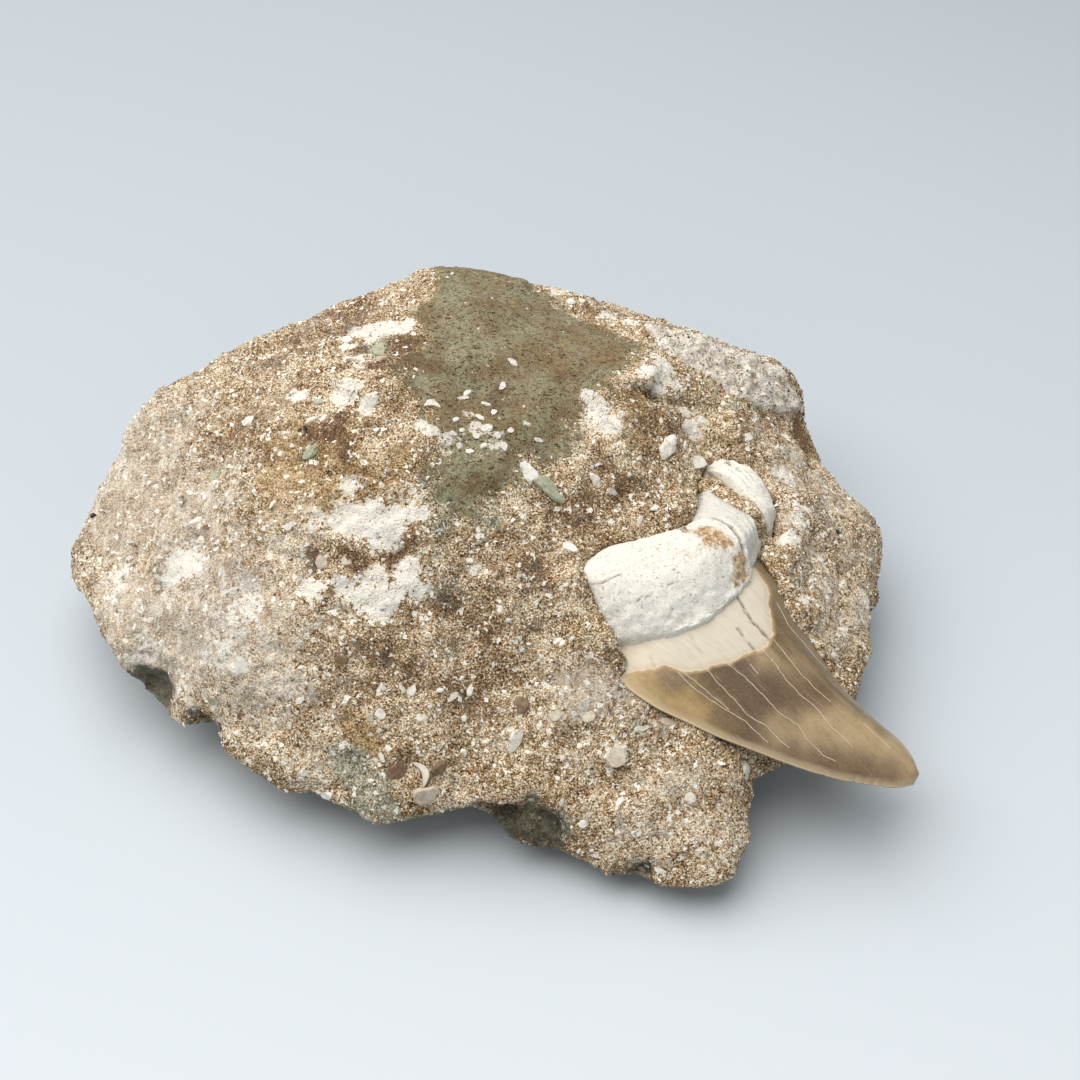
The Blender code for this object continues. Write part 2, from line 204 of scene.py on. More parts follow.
_, tilt = corners_of(lump.data)
below = lump.vertex_groups.new(name="below")
for index in np.flatnonzero(tilt[:, 2] < COARSER_BELOW).tolist():
    below.add([index], 1.0, "REPLACE")
thinned = lump.modifiers.new("thinned", "DECIMATE")
thinned.vertex_group = "below"
thinned.ratio = min(1, TOP_TRIANGLES / (2 * len(lump.data.polygons)))
thinned.use_collapse_triangulate = True
applied(lump)
lump.vertex_groups.clear()

# The relief of the lump. Loose sand crumbles at every size, so it is uneven down to its grains;
# the clayey zone on top broke smoother, with small pits. Ledges, hollows and scoops are where
# pieces came away. Each is a line or a spot of the picture, how wide and how high, in millimetres.
CRUMBLE = [(10.5, 0.7), (4.6, 0.55), (2.3, 0.42), (1.15, 0.3)]  # size and height of the unevenness
SEEDS_APART = 17.3
CRAGS = (7.5, 1.3)  # of the larger breaks underneath
CLAYEY_OUTLINE = [
    (436, 270), (470, 271), (512, 281), (556, 304), (596, 324), (628, 338), (640, 352), (622, 372),
    (606, 386), (590, 392), (583, 402), (582, 430), (576, 456), (552, 462), (534, 452), (520, 478),
    (498, 500), (470, 520), (440, 500), (424, 470), (440, 440), (420, 408), (404, 380), (412, 350),
    (424, 335), (418, 312), (432, 290),
]
CLAYEY_OVER_RIM = 3  # its first points lie on the rim, and it goes on over that
RIM_DEPTH = 7
CLAYEY_BORDER = 3.6  # how far it fades to either side of its outline
CLAYEY_HEIGHTS = (22, 27)  # it lies on top, and sets in between these
CLAYEY_SMOOTHNESS = 0.62
BLOCK_OUTLINE = [
    (640, 330), (672, 324), (712, 330), (745, 346), (782, 374), (804, 398), (800, 414), (777, 416),
    (752, 408), (734, 400), (706, 379), (684, 366), (660, 352),
]
BLOCK_RISE = 1.3
BLOCK_CRAGS = [(0.55, 2.6, 2.2), (0.3, 1.3, 6.2)]  # height, size and seed of its unevenness
SCARPS = [  # the ground falls away on the right of each line as it is walked
    ([(228, 384), (205, 420), (182, 455), (160, 500), (143, 545), (136, 588)], 2.2, -1.9),
    ([(300, 335), (268, 362), (243, 392), (226, 424)], 1.8, -1.1),
    ([(640, 384), (660, 391), (690, 400), (716, 398)], 1.2, -1.0),
    ([(612, 640), (600, 660), (604, 690), (626, 706)], 1.4, -0.7),
]
FURROWS = [
    ([(206, 408), (188, 436), (172, 470)], 1.3, -1.0), ([(216, 436), (196, 470), (180, 505)], 1.0, 0.8),
    ([(186, 500), (168, 540), (160, 580)], 1.1, 0.8), ([(176, 470), (156, 520), (150, 560)], 0.9, -0.8),
    ([(150, 600), (140, 560), (152, 500)], 0.8, 0.4), ([(640, 388), (660, 396), (684, 402)], 0.9, -1.2),
    ([(556, 664), (559, 673), (563, 684)], 0.55, -1.0), ([(262, 548), (285, 556), (306, 560)], 0.8, -0.5),
    ([(120, 590), (132, 620), (128, 650)], 1.4, 0.5), ([(404, 506), (372, 520), (344, 512)], 1.4, -0.4),
    ([(330, 388), (352, 402), (372, 410)], 1.2, -0.7),
    ([(484, 806), (504, 809), (528, 813), (556, 826)], 1.7, -2.4),
    ([(800, 575), (824, 588), (842, 602)], 1.0, 0.5), ([(700, 800), (724, 812), (738, 830)], 1.6, -0.5),
    ([(570, 580), (580, 610), (594, 634), (608, 650)], 2.8, 2.3),
]
HOLLOWS = [
    (176, 421, 2.6, -1.4), (808, 583, 2.3, -1.7), (399, 774, 2.2, -1), (322, 562, 2.2, -0.7),
    (203, 541, 1.3, -0.6), (155, 688, 3.6, -3.2), (205, 730, 2.8, -2.2), (134, 552, 1.4, -1.4),
    (640, 875, 2.2, -1.6), (150, 450, 7, -1), (140, 500, 6, -0.9), (230, 470, 6, 0.8),
    (250, 640, 7, 0.8), (660, 388, 2, -1.2), (615, 655, 2.4, -0.9), (470, 445, 3.6, -0.8),
    (345, 400, 3, -0.9), (405, 560, 2.4, -0.6), (300, 455, 3, -0.5), (843, 660, 2.6, -0.9),
    (735, 455, 2.2, -0.7), (660, 420, 2.2, -0.6), (248, 610, 3.5, -0.5), (445, 345, 1.6, -0.6),
    (592, 560, 2, -0.5), (372, 330, 2.6, 0.8), (366, 398, 2.6, 0.6), (375, 520, 3.8, 0.7),
    (392, 590, 3.4, 0.8), (434, 380, 2, 0.6), (616, 756, 2.2, 0.6), (88, 560, 3.2, 0.8),
    (215, 560, 2.6, 0.6), (655, 370, 2.8, 0.9), (700, 352, 2.6, 0.7), (760, 388, 2.6, 0.7),
    (790, 440, 3, 0.5), (520, 285, 1.3, 0.9), (772, 460, 2.4, 0.5), (250, 690, 3, 0.5),
    (686, 505, 3, 0.8), (784, 553, 3, 1.5),
]
ROOM_FOR_GRAINS = 0.3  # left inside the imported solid's box for what stands out of the surface

smoothed = surface_of(lump)
corners, tilt = corners_of(lump.data)
outline = meet_all(smoothed, CLAYEY_OUTLINE)
outline[:CLAYEY_OVER_RIM] += (0, RIM_DEPTH, 0)
clayey = smooth_step(inside(corners, outline), -CLAYEY_BORDER, CLAYEY_BORDER)
clayey *= smooth_step(corners[:, 2], *CLAYEY_HEIGHTS) * smooth_step(tilt[:, 2], 0, 0.4)
block = smooth_step(inside(corners, meet_all(smoothed, BLOCK_OUTLINE)), -0.4, 0.9)
block *= smooth_step(tilt[:, 2], -0.2, 0.2)

rise = np.zeros(len(corners))
for turn, (size, height) in enumerate(CRUMBLE):
    rise += height * rough(corners, size, SEEDS_APART * turn) * (1 - CLAYEY_SMOOTHNESS * clayey)
size, height = CRAGS
underneath = smooth_step(-tilt[:, 2], -0.3, 0.4)
rise += height * underneath * rough(corners, size, 5.1)
rise += BLOCK_RISE * block * roughened(1, corners, *BLOCK_CRAGS)
for line, width, height in FURROWS:
    reach = along(corners, meet_all(smoothed, line))
    rise += height * np.exp(-((reach / width) ** 2))
for line, width, height in SCARPS:
    path = meet_all(smoothed, line)
    reach = along(corners, path)
    middle = len(path) // 2
    run = path[middle] - path[middle - 1]
    side = np.array([run[1], -run[0], 0]) / np.linalg.norm(run[:2])
    onto = (corners - path[middle]) @ side
    rise += height * smooth_step(onto, -0.6, 0.6) * np.exp(-((reach / (3 * width)) ** 2))
for px, py, width, height in HOLLOWS:
    place, _ = meet(smoothed, px, py)
    reach = np.linalg.norm(corners - np.array(place / MM), axis=1) / width
    rise += height * np.exp(-(reach**2) * (1 + 0.5 * rough(corners, 1.9, 9.7)))
resting = smooth_step(corners[:, 2], *FIRM_FROM)
corners += tilt * (rise * resting)[:, None]
low, high = (np.array(corner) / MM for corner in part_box("matrix"))
corners = np.clip(corners, low + (ROOM_FOR_GRAINS, ROOM_FOR_GRAINS, 0), high - ROOM_FOR_GRAINS)
move_corners(lump.data, corners)
ground = surface_of(lump)
lump.data.shade_smooth()

# What the sand is coloured by: where it is chalky, rusty, umber, dusty or green, and where its recesses
# are near black, partly dark clay and partly painted shade. Each row is a pixel of the picture, how far
# the patch reaches in millimetres, and how strong it is.
PATCHES = {
    "chalky": [
        (362, 328, 2.6, 1), (374, 326, 2.8, 1), (388, 328, 2.4, 1), (372, 337, 1.6, 0.9),
        (402, 329, 1.9, 1), (408, 324, 1.4, 1), (348, 347, 1.5, 0.9), (350, 390, 3, 0.65),
        (368, 404, 2, 0.95), (340, 398, 2.6, 0.6), (422, 425, 1.1, 0.9), (432, 431, 1.4, 1),
        (446, 440, 2.2, 0.65), (456, 438, 1.8, 0.6), (446, 452, 1.3, 0.8), (469, 415, 1.3, 0.9),
        (474, 428, 1.4, 0.9), (484, 432, 1.2, 0.8), (492, 440, 2.4, 0.6), (498, 446, 1.8, 0.6),
        (352, 518, 3.4, 1), (366, 520, 3.6, 1), (382, 530, 3.4, 1), (392, 522, 3.2, 1),
        (372, 510, 2.4, 0.9), (410, 514, 2, 0.9), (424, 512, 1.4, 0.8), (340, 523, 2, 0.8),
        (388, 538, 1.8, 0.8), (345, 494, 3.4, 0.6), (415, 494, 2.6, 0.6), (410, 566, 1.8, 1),
        (408, 578, 2.8, 1), (418, 590, 2, 0.85), (372, 590, 3.2, 1), (380, 602, 3.2, 1),
        (364, 602, 2.4, 0.9), (394, 596, 2, 0.9), (376, 612, 1.8, 0.8), (345, 586, 2.2, 0.8),
        (378, 572, 1.5, 0.8), (426, 574, 1.4, 0.8), (313, 590, 2.6, 0.8), (476, 570, 1.5, 0.6),
        (124, 575, 2.2, 0.8), (118, 588, 1.8, 0.8), (184, 560, 3.4, 0.95), (176, 570, 2.6, 0.85),
        (192, 568, 2.6, 0.85), (170, 578, 1.8, 0.75), (150, 650, 3.4, 0.7), (138, 656, 2.4, 0.7),
        (232, 590, 3, 0.55), (240, 606, 5, 0.55), (215, 655, 4, 0.55), (190, 690, 4, 0.5),
        (587, 394, 1.5, 0.8), (597, 409, 2.4, 0.75), (608, 424, 2.4, 0.75), (590, 420, 2.6, 0.5),
        (645, 372, 2.6, 0.8), (664, 364, 3, 0.8), (660, 384, 2, 0.8), (678, 386, 1.6, 0.8),
        (684, 412, 1.4, 0.9), (690, 424, 1.5, 0.9), (695, 434, 1.2, 0.8), (786, 474, 2.4, 0.6),
        (797, 500, 2.6, 0.6), (800, 520, 2, 0.5), (776, 545, 2, 0.9), (790, 538, 2.2, 0.9),
        (866, 602, 1.4, 0.9), (616, 756, 2.4, 0.95), (430, 402, 1.4, 0.6), (560, 292, 2, 0.6),
        (608, 316, 2.2, 0.7), (630, 322, 2.2, 0.7), (310, 640, 3, 0.45), (262, 664, 3.6, 0.45),
        (290, 690, 4, 0.4), (806, 600, 1.8, 0.7), (392, 300, 2.6, 0.5), (300, 395, 1.8, 0.8),
        (292, 394, 1.4, 0.7), (316, 520, 3, 0.45), (222, 730, 2.4, 0.4),
    ],
    "rusty": [
        (300, 450, 6.5, 1), (284, 480, 6, 0.9), (320, 470, 5.5, 0.9), (350, 462, 6, 0.8),
        (330, 492, 4.5, 1), (344, 440, 5, 0.7), (384, 470, 5, 0.65), (404, 452, 3, 0.7),
        (356, 490, 4, 0.9), (362, 734, 2.8, 1), (370, 746, 2.2, 1), (350, 722, 2.2, 0.8),
        (408, 344, 4, 0.6), (470, 490, 3, 0.5), (290, 510, 4, 0.6), (396, 500, 3, 0.6),
        (470, 425, 2.4, 0.6), (600, 350, 6.5, 0.75), (560, 350, 5, 0.5), (640, 440, 6, 0.5),
        (610, 470, 5, 0.4), (395, 770, 2.6, 0.6), (341, 660, 2.2, 0.6), (640, 402, 4.5, 0.8),
        (600, 320, 6, 0.65), (560, 420, 4, 0.5), (700, 450, 4, 0.5), (430, 660, 8, 0.3),
        (300, 640, 5, 0.3), (800, 430, 4, 0.5), (500, 310, 4, 0.3), (400, 540, 4, 0.5),
        (530, 400, 4, 0.4), (740, 430, 4, 0.5), (802, 438, 5, 1),
    ],
    "umber": [
        (400, 346, 3.4, 1), (412, 362, 3.4, 0.8), (378, 364, 2.6, 1), (360, 352, 2, 0.9),
        (430, 368, 3, 0.7), (334, 428, 3.6, 1), (316, 430, 2.4, 0.8), (350, 450, 3.4, 0.7),
        (380, 430, 3.4, 0.6), (396, 400, 4, 0.6), (357, 562, 2.2, 1), (346, 548, 2, 0.7),
        (404, 536, 3, 0.8), (440, 536, 4, 0.5), (394, 560, 2.4, 0.7), (446, 604, 2.6, 0.8),
        (470, 540, 5, 0.4), (424, 478, 3, 0.6), (480, 490, 3.6, 0.6), (500, 400, 3.6, 0.6),
        (470, 362, 3, 0.6), (496, 365, 2.6, 0.7), (446, 366, 3, 0.6), (380, 384, 3.2, 0.6),
        (340, 370, 2.4, 0.6), (316, 566, 1.8, 0.8), (312, 552, 1.6, 0.7), (165, 560, 2.4, 0.5),
        (90, 582, 1.8, 0.7), (615, 655, 3, 0.7), (300, 445, 1.6, 0.5), (722, 470, 3, 0.5),
        (660, 388, 1.6, 0.7), (560, 380, 2, 0.4), (530, 440, 2.6, 0.4), (205, 540, 1.3, 0.6),
        (320, 700, 3.2, 0.4), (500, 790, 3, 0.4), (800, 438, 4, 0.9), (530, 560, 11, 0.52),
        (470, 610, 11, 0.5), (400, 660, 10, 0.48), (470, 690, 9, 0.48), (560, 520, 9, 0.52),
        (600, 480, 9, 0.52), (640, 400, 8, 0.5), (340, 468, 9, 0.42), (262, 408, 9, 0.46),
        (170, 520, 9, 0.34), (340, 322, 9, 0.58), (290, 348, 8, 0.5), (380, 305, 6, 0.5),
        (602, 312, 6, 0.62), (380, 385, 6, 0.4), (575, 380, 4, 0.4),
    ],
    "dusty": [
        (150, 450, 14, 0.8), (180, 520, 13, 0.9), (108, 560, 10, 0.5), (230, 640, 14, 0.75),
        (120, 600, 9, 0.9), (200, 600, 13, 0.9), (270, 680, 12, 0.6), (320, 750, 9, 0.4),
        (250, 560, 12, 0.6), (130, 500, 11, 1), (180, 640, 12, 1), (280, 345, 12, 0.3),
        (590, 690, 5, 0.9), (572, 706, 4, 0.7), (130, 650, 8, 1), (835, 500, 8, 0.5), (800, 470, 6, 0.6),
        (850, 560, 6, 0.4), (205, 420, 7, 0.4), (260, 400, 8, 0.2), (330, 610, 6, 0.4), (140, 530, 9, 1),
        (622, 700, 3, 0.7), (380, 300, 8, 0.3), (330, 330, 8, 0.3), (560, 296, 4, 0.3),
        (600, 316, 4, 0.3), (560, 680, 4, 0.6), (300, 530, 6, 0.5), (720, 560, 4, 0.3),
        (650, 720, 4, 0.4), (760, 440, 5, 0.4), (600, 790, 9, 0.3), (680, 800, 10, 0.4),
        (640, 850, 8, 0.4), (815, 530, 11, 0.45), (845, 600, 9, 0.5), (790, 470, 8, 0.4),
        (500, 760, 8, 0.2),
    ],
    "green": [
        (352, 768, 4, 1), (338, 752, 2.6, 0.8), (370, 790, 4, 1), (386, 806, 3, 1), (360, 806, 3, 0.9),
        (379, 350, 3, 0.8), (310, 453, 2.4, 0.8), (436, 486, 4.5, 0.75), (440, 520, 4, 0.6),
        (452, 470, 3.4, 0.9), (486, 516, 4, 0.6), (430, 560, 4, 0.5), (448, 590, 4, 0.4),
        (520, 470, 4, 0.6), (758, 412, 2, 0.7), (735, 404, 2, 0.7), (712, 388, 2, 0.6),
        (470, 385, 4, 0.4), (450, 400, 4, 0.4), (680, 400, 3, 0.3), (560, 824, 3, 1), (455, 640, 4, 0.3),
        (500, 600, 5, 0.3), (660, 336, 3, 0.5), (560, 560, 5, 0.25), (215, 475, 1.8, 0.6),
    ],
    # Dark green-grey clay in the recesses under the rim, darkened further by painted shade there.
    "slate": [
        (152, 684, 4, 1), (160, 692, 4, 1), (146, 676, 3, 0.8), (196, 722, 3, 0.9), (530, 822, 5, 1),
        (510, 818, 4, 1), (548, 836, 4, 0.9), (640, 874, 2.4, 0.7), (620, 868, 2, 0.6),
        (668, 880, 2, 0.6),
    ],
}


def patches(places, rows, surface):
    """How far each place is within any of the patches, from 0 to 1."""
    most = np.zeros(len(places))
    for px, py, reach, strength in rows:
        place, _ = meet(surface, px, py)
        distance = np.linalg.norm(places - np.array(place / MM), axis=1)
        most = np.maximum(most, strength * np.clip(1.5 - distance / reach, 0, 1))
    return most


corners, _ = corners_of(lump.data)
for name, rows in PATCHES.items():
    store(lump.data, name, patches(corners, rows, ground))
store(lump.data, "clayey", clayey)
store(lump.data, "block", block)
store(lump.data, "underneath", underneath)


class Wire:
    """What comes out of a node. Sums are written with it, and each operator adds its Math node."""

    def __init__(self, nodes, socket):
        self.nodes = nodes
        self.socket = socket

    def maths(self, operation, *values):
        return self.nodes.node("ShaderNodeMath", {"operation": operation}, *values)

    def __add__(self, other):
        return self.maths("ADD", self, other)

    def __sub__(self, other):
        return self.maths("SUBTRACT", self, other)

    def __rsub__(self, other):
        return self.maths("SUBTRACT", other, self)

    def __mul__(self, other):
        return self.maths("MULTIPLY", self, other)

    def __truediv__(self, other):
        return self.maths("DIVIDE", self, other)

    def __pow__(self, other):
        return self.maths("POWER", self, other)

    __radd__ = __add__
    __rmul__ = __mul__


class Nodes:
    """A node tree that is added to one node at a time, by type, settings, and what feeds its sockets."""

    def __init__(self, tree):
        self.tree = tree

    def feed(self, socket, value):
        if isinstance(value, Wire):
            self.tree.links.new(value.socket, socket)
        elif socket.type == "RGBA" and len(value) == 3:
            socket.default_value = (*value, 1)
        else:
            socket.default_value = value

    def node(self, kind, settings=None, *values, out=0, **named):
        node = self.tree.nodes.new(kind)
        for setting, value in (settings or {}).items():
            if setting == "stops":
                for _ in value[2:]:
                    node.color_ramp.elements.new(0.5)
                for element, (place, colour) in zip(node.color_ramp.elements, value):
                    element.position = place
                    element.color = (*colour, 1)
            else:
                setattr(node, setting, value)
        for socket, value in zip(node.inputs, values):
            self.feed(socket, value)
        for name, value in named.items():
            self.feed(node.inputs[name.replace("_", " ")], value)
        return Wire(self, node.outputs[out])


class Finish(Nodes):
    """A material, patterned on its object's own coordinates. Sizes of patterns are in millimetres.
    Pieces too small to show a pattern's finest octaves are given a number of them to leave out."""

    def __init__(self, name, left_out=0, **constants):
        self.left_out = left_out
        self.material = bpy.data.materials.new(name)
        self.material.use_nodes = True
        super().__init__(self.material.node_tree)
        self.shader = self.tree.nodes["Principled BSDF"]
        self.at = self.node("ShaderNodeTexCoord", out="Object")
        self.surface(**constants)

    def surface(self, **named):
        for name, value in named.items():
            self.feed(self.shader.inputs[name.replace("_", " ")], value)

    def stretched(self, across, up, out_of=1.0, where=None):
        """Coordinates squeezed along each axis, so that a pattern on them is drawn out the other way."""
        place = where or self.at
        return self.node("ShaderNodeVectorMath", {"operation": "MULTIPLY"}, place, (across, up, out_of))

    def noise(self, size, detail=2.0, roughness=0.5, where=None):
        return self.node("ShaderNodeTexNoise", None, Vector=where or self.at, Scale=1 / (size * MM),
                         Detail=max(0, detail - self.left_out), Roughness=roughness)

    def cells(self, size, out="Distance"):
        return self.node("ShaderNodeTexVoronoi", None, Vector=self.at, Scale=1 / (size * MM), out=out)

    def chance(self, size):
        """A random number for each grain of a pattern of grains."""
        return self.node("ShaderNodeSeparateColor", None, self.cells(size, out="Color"))

    def step(self, value, low, high):
        return self.node("ShaderNodeMapRange", {"interpolation_type": "SMOOTHSTEP"}, value, low, high, 0, 1)

    def ramp(self, value, *stops):
        return self.node("ShaderNodeValToRGB", {"stops": stops}, value)

    def mix(self, share, a, b):
        mixer = self.tree.nodes.new("ShaderNodeMix")
        mixer.data_type = "RGBA"
        for index, value in ((0, share), (6, a), (7, b)):
            self.feed(mixer.inputs[index], value)
        return Wire(self, mixer.outputs[2])

    def painted(self, colour, *layers):
        """A colour under layers, each a share and a colour, the last of them on top."""
        for share, over in layers:
            colour = self.mix(share, colour, over)
        return colour

    def stored(self, name, out="Fac"):
        return self.node("ShaderNodeAttribute", {"attribute_name": name}, out=out)

    def bump(self, height, depth):
        self.surface(Normal=self.node("ShaderNodeBump", None, Strength=1, Distance=depth * MM, Height=height))


FINEST = 0.31  # wavelength of the speckle that single sand grains make


def zone_of(finish):
    """How far a place is in each zone that the lump's corners carry, with ragged, broken borders."""
    ragged = (finish.noise(5.0, 5, 0.72) - 0.5) * 2.1 + (finish.noise(0.9, 3, 0.7) - 0.5) * 1.3

    def zone(name, low, high, unevenness=1.0):
        return finish.step(finish.stored(name) + ragged * unevenness, low, high)

    return zone


def sand_colours(finish, speckle):
    """Colour of the sand or of a grain on it, and how clayey it is there. How much of it is cream and
    how much brown depends on the zone, and speckle, from 0 to 1, decides which of them it is here."""
    zone = zone_of(finish)
    chalk, dust, rust = zone("chalky", 0.38, 0.8, 1.15), zone("dusty", 0.15, 0.95), zone("rusty", 0.25, 0.95)
    umber, green, clay = zone("umber", 0.3, 0.9), zone("green", 0.3, 0.85), zone("clayey", 0.36, 0.64, 1.4)
    streaks = finish.noise(1.3, 4, 0.7, where=finish.stretched(0.95, 0.16, 0.4))
    browner = finish.noise(9, 5, 0.72) * 1.25 + umber * 0.28 - chalk * 0.62 - dust * 0.12
    level = speckle * 1.45 - browner + 0.48
    grainy = finish.ramp(
        level, (0, (0.042, 0.019, 0.008)), (0.22, (0.13, 0.063, 0.025)), (0.42, (0.27, 0.157, 0.066)),
        (0.62, (0.46, 0.315, 0.165)), (0.82, (0.73, 0.585, 0.385)), (1, (0.94, 0.87, 0.73)),
    )
    ochre = finish.ramp(
        level, (0.1, (0.11, 0.054, 0.018)), (0.5, (0.31, 0.185, 0.07)), (0.9, (0.60, 0.42, 0.21)),
    )
    mossy = finish.ramp(
        level, (0.1, (0.085, 0.085, 0.05)), (0.5, (0.27, 0.265, 0.18)), (0.9, (0.56, 0.55, 0.43)),
    )
    white = finish.mix(finish.noise(1.2, 4, 0.72), (0.70, 0.61, 0.49), (0.98, 0.955, 0.90))
    greener = finish.step(finish.noise(7.5, 5, 0.7), 0.36, 0.64)
    olive = finish.painted(
        finish.mix(greener, (0.215, 0.155, 0.075), (0.29, 0.28, 0.175)),
        (rust * 0.7, (0.245, 0.155, 0.07)),
        (finish.step(finish.noise(1, 4, 0.75) + umber * 0.2, 0.5, 0.62) * 0.72, (0.135, 0.08, 0.038)),
        ((1 - finish.step(speckle, 0.1, 0.45)) * 0.6, (0.075, 0.052, 0.028)),
        (finish.step(speckle, 0.72, 1.05) * 0.5, (0.50, 0.45, 0.32)),
    )
    paler = finish.step(finish.noise(1.1, 5, 0.75), 0.3, 0.7)
    # Near black to dark green-grey: dark clay in the recesses, partly painted shade.
    slate = finish.mix(paler, (0.012, 0.012, 0.008), (0.12, 0.118, 0.08))
    return finish.painted(
        grainy,
        (dust * 0.5, (0.56, 0.475, 0.39)),
        (finish.step(streaks, 0.5, 0.62) * dust * 0.6, (0.80, 0.74, 0.64)),
        ((1 - finish.step(streaks, 0.36, 0.46)) * dust * 0.25, (0.36, 0.265, 0.185)),
        (rust * 0.75, ochre),
        (umber * 0.43, (0.115, 0.058, 0.038)),
        (green * 0.72, mossy),
        (chalk * 0.9 * finish.step(speckle, 0.02, 0.36), white),
        (clay * 0.92 * (1 - chalk * 0.8), olive),
        (zone("slate", 0.3, 0.8, 1.2) * 0.88, slate),
    ), clay


sand = Finish("shelly sand", Roughness=0.95, Specular_IOR_Level=0.25)
speckle = (sand.noise(FINEST, 3, 0.8) - 0.5) * 2.5 + (sand.noise(0.9, 2, 0.6) - 0.5) * 0.7 + 0.5
colour, in_clay = sand_colours(sand, speckle)
shelly = sand.step(sand.chance(0.7), 0.945, 0.955) * (1 - in_clay) * (1 - sand.stored("slate"))
pits = sand.step(sand.noise(0.75, 2, 0.6, where=sand.stretched(1, 1.7)), 0.61, 0.65)
limy = sand.ramp(
    sand.noise(1.7, 5, 0.75), (0.34, (0.29, 0.225, 0.16)), (0.46, (0.56, 0.50, 0.41)),
    (0.58, (0.90, 0.85, 0.77)),
)
limy = sand.painted(
    limy,
    (sand.step(sand.noise(3.4, 3, 0.7), 0.56, 0.66) * 0.5, (0.42, 0.30, 0.20)),
    ((1 - sand.step(speckle, 0.1, 0.25)) * 0.3, (0.24, 0.18, 0.12)),
)
# Darker colour on sand that faces down: painted shade underneath.
underside_shade = sand.mix(sand.noise(3, 4, 0.7), (0.075, 0.068, 0.045), (0.30, 0.28, 0.2))
colour = sand.painted(
    colour,
    (shelly * 0.9, (0.93, 0.88, 0.78)),
    (pits * in_clay * 0.85, (0.05, 0.032, 0.018)),
    (zone_of(sand)("block", 0.4, 0.7, 0.5) * 0.9, limy),
    (zone_of(sand)("underneath", 0.5, 1, 0.6) * 0.6, underside_shade),
)
firm = sand.stored("clayey")
relief = (1 - sand.cells(0.42)) * (1 - firm * 0.75) + sand.noise(0.3, 2, 0.6) - pits * firm * 1.2
sand.surface(Base_Color=colour)
sand.bump(relief, 0.15)
lump.data.materials.clear()
lump.data.materials.append(sand.material)
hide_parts("matrix")
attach(lump, "root")

# The tooth's crown: a curved blade of dentine under glossy enamel, honey-grey with age, which ends
# in a thin paler cutting margin on each side. Below the enamel's wavy edge the neck is bare bone.
# It is lofted from its two edges, in its own frame: across to the right, along to the point, out.
tooth_low, tooth_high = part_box("tooth")
TOOTH_AT = np.array((tooth_low + tooth_high) / 2 / MM) + (-5.16, -3.36, -2.79)
TIP_HEADING = math.radians(-55.2)
TIP_DIP = math.radians(9.5)
TOOTH_ROLL = math.radians(5.9)
LEFT_EDGE = [
    (-17, -8), (-20.2, 0.2), (-18.6, 6.8), (-15.2, 12.7), (-12.1, 17.7), (-8.9, 22), (-5.8, 26.2),
    (-2.6, 30.2), (0.9, 33.9), (4.8, 37.3), (8.7, 40), (11.6, 41),
]
RIGHT_EDGE = [
    (17.5, -7), (18.4, 0), (17, 4), (15, 9), (13.6, 14), (12.9, 19), (13.1, 24), (13.9, 28.7),
    (14.9, 33.2), (14.8, 36.8), (13.7, 39.8),
]
CROWN_RISE = (0.55, 0.205)  # of its face above its edges: at least, and as a share of its width
CROWN_SINK = (0.3, 0.05)  # and how far its back bulges below them
MARGIN_HALF = 0.16  # half the thickness of its margins
RIDGE_ACROSS = 0.61
CROWN_STATIONS, CROWN_FRONT, CROWN_BACK = 250, 150, 70
ENAMEL_BASE = [
    (-21, 0.2), (-18.4, 0.7), (-16.8, 1.7), (-13.7, 3.5), (-12.2, 5.2), (-10.9, 6.6), (-8.8, 7.7),
    (-6.6, 8.3), (-4.8, 9.3), (-1.8, 9.6), (0.6, 10.2), (2.4, 9.9), (4.2, 8.9), (5.2, 7.6), (6.4, 5.4),
    (7.1, 4), (8.6, 2.4), (9.8, 0.4), (10.6, -8),
]
ENAMEL_PROUD = 0.26
NECK_CRACKS = [  # pixels, from the root to the enamel
    [(728, 585), (736, 596), (744, 606), (747, 614), (753, 623), (758, 627), (771, 640)],
    [(738, 628), (745, 640), (751, 646), (759, 655), (770, 659)], [(690, 634), (694, 643), (703, 655)],
    [(650, 655), (655, 668)],
]
CRACK_DEPTHS = [0.35, 0.25, 0.08, 0.1]
CROWN_PATCHES = {  # pixel, reach in millimetres, strength
    "amber": [
        (652, 684, 5, 1), (634, 680, 4, 1), (682, 699, 5, 1), (697, 706, 4, 0.9), (716, 722, 3.5, 0.6),
    ],
    "cloud": [
        (671, 678, 2.6, 0.7), (682, 677, 2.4, 0.8), (719, 680, 4, 1), (734, 677, 4, 1), (752, 699, 4, 1),
        (767, 693, 4, 1), (726, 714, 3.4, 0.8), (744, 726, 3.4, 0.7), (790, 706, 3.5, 0.6),
        (706, 690, 2.6, 0.8),
    ],
    "plum": [
        (815, 695, 3.2, 0.9), (800, 684, 3, 0.7), (770, 690, 3, 0.6), (789, 758, 3.4, 0.8),
        (819, 764, 3.6, 1), (856, 770, 3.6, 1), (886, 775, 3, 0.9), (760, 744, 3, 0.7), (838, 767, 3.2, 1),
    ],
    "tan": [
        (819, 732, 5, 1), (782, 729, 4.2, 0.8), (856, 742, 5, 1), (893, 757, 4.6, 1), (840, 722, 4, 0.8),
        (797, 669, 4, 0.5), (767, 662, 3.6, 0.5), (905, 770, 3, 1),
    ],
}
CHIPPED = [(0.80, 0.35), (0.83, 0.2), (0.86, 0.4), (0.89, 0.25), (0.71, 0.15)]  # place along, depth
CHIP_HALF = 0.006  # as a share of the crown's length
MARGIN_WEAR = 0.1
SWELLS = 0.10  # how far the enamel's long swells stand out, and how far its fine wrinkles do
WRINKLES = 0.03
CRACK_HALF = 0.19


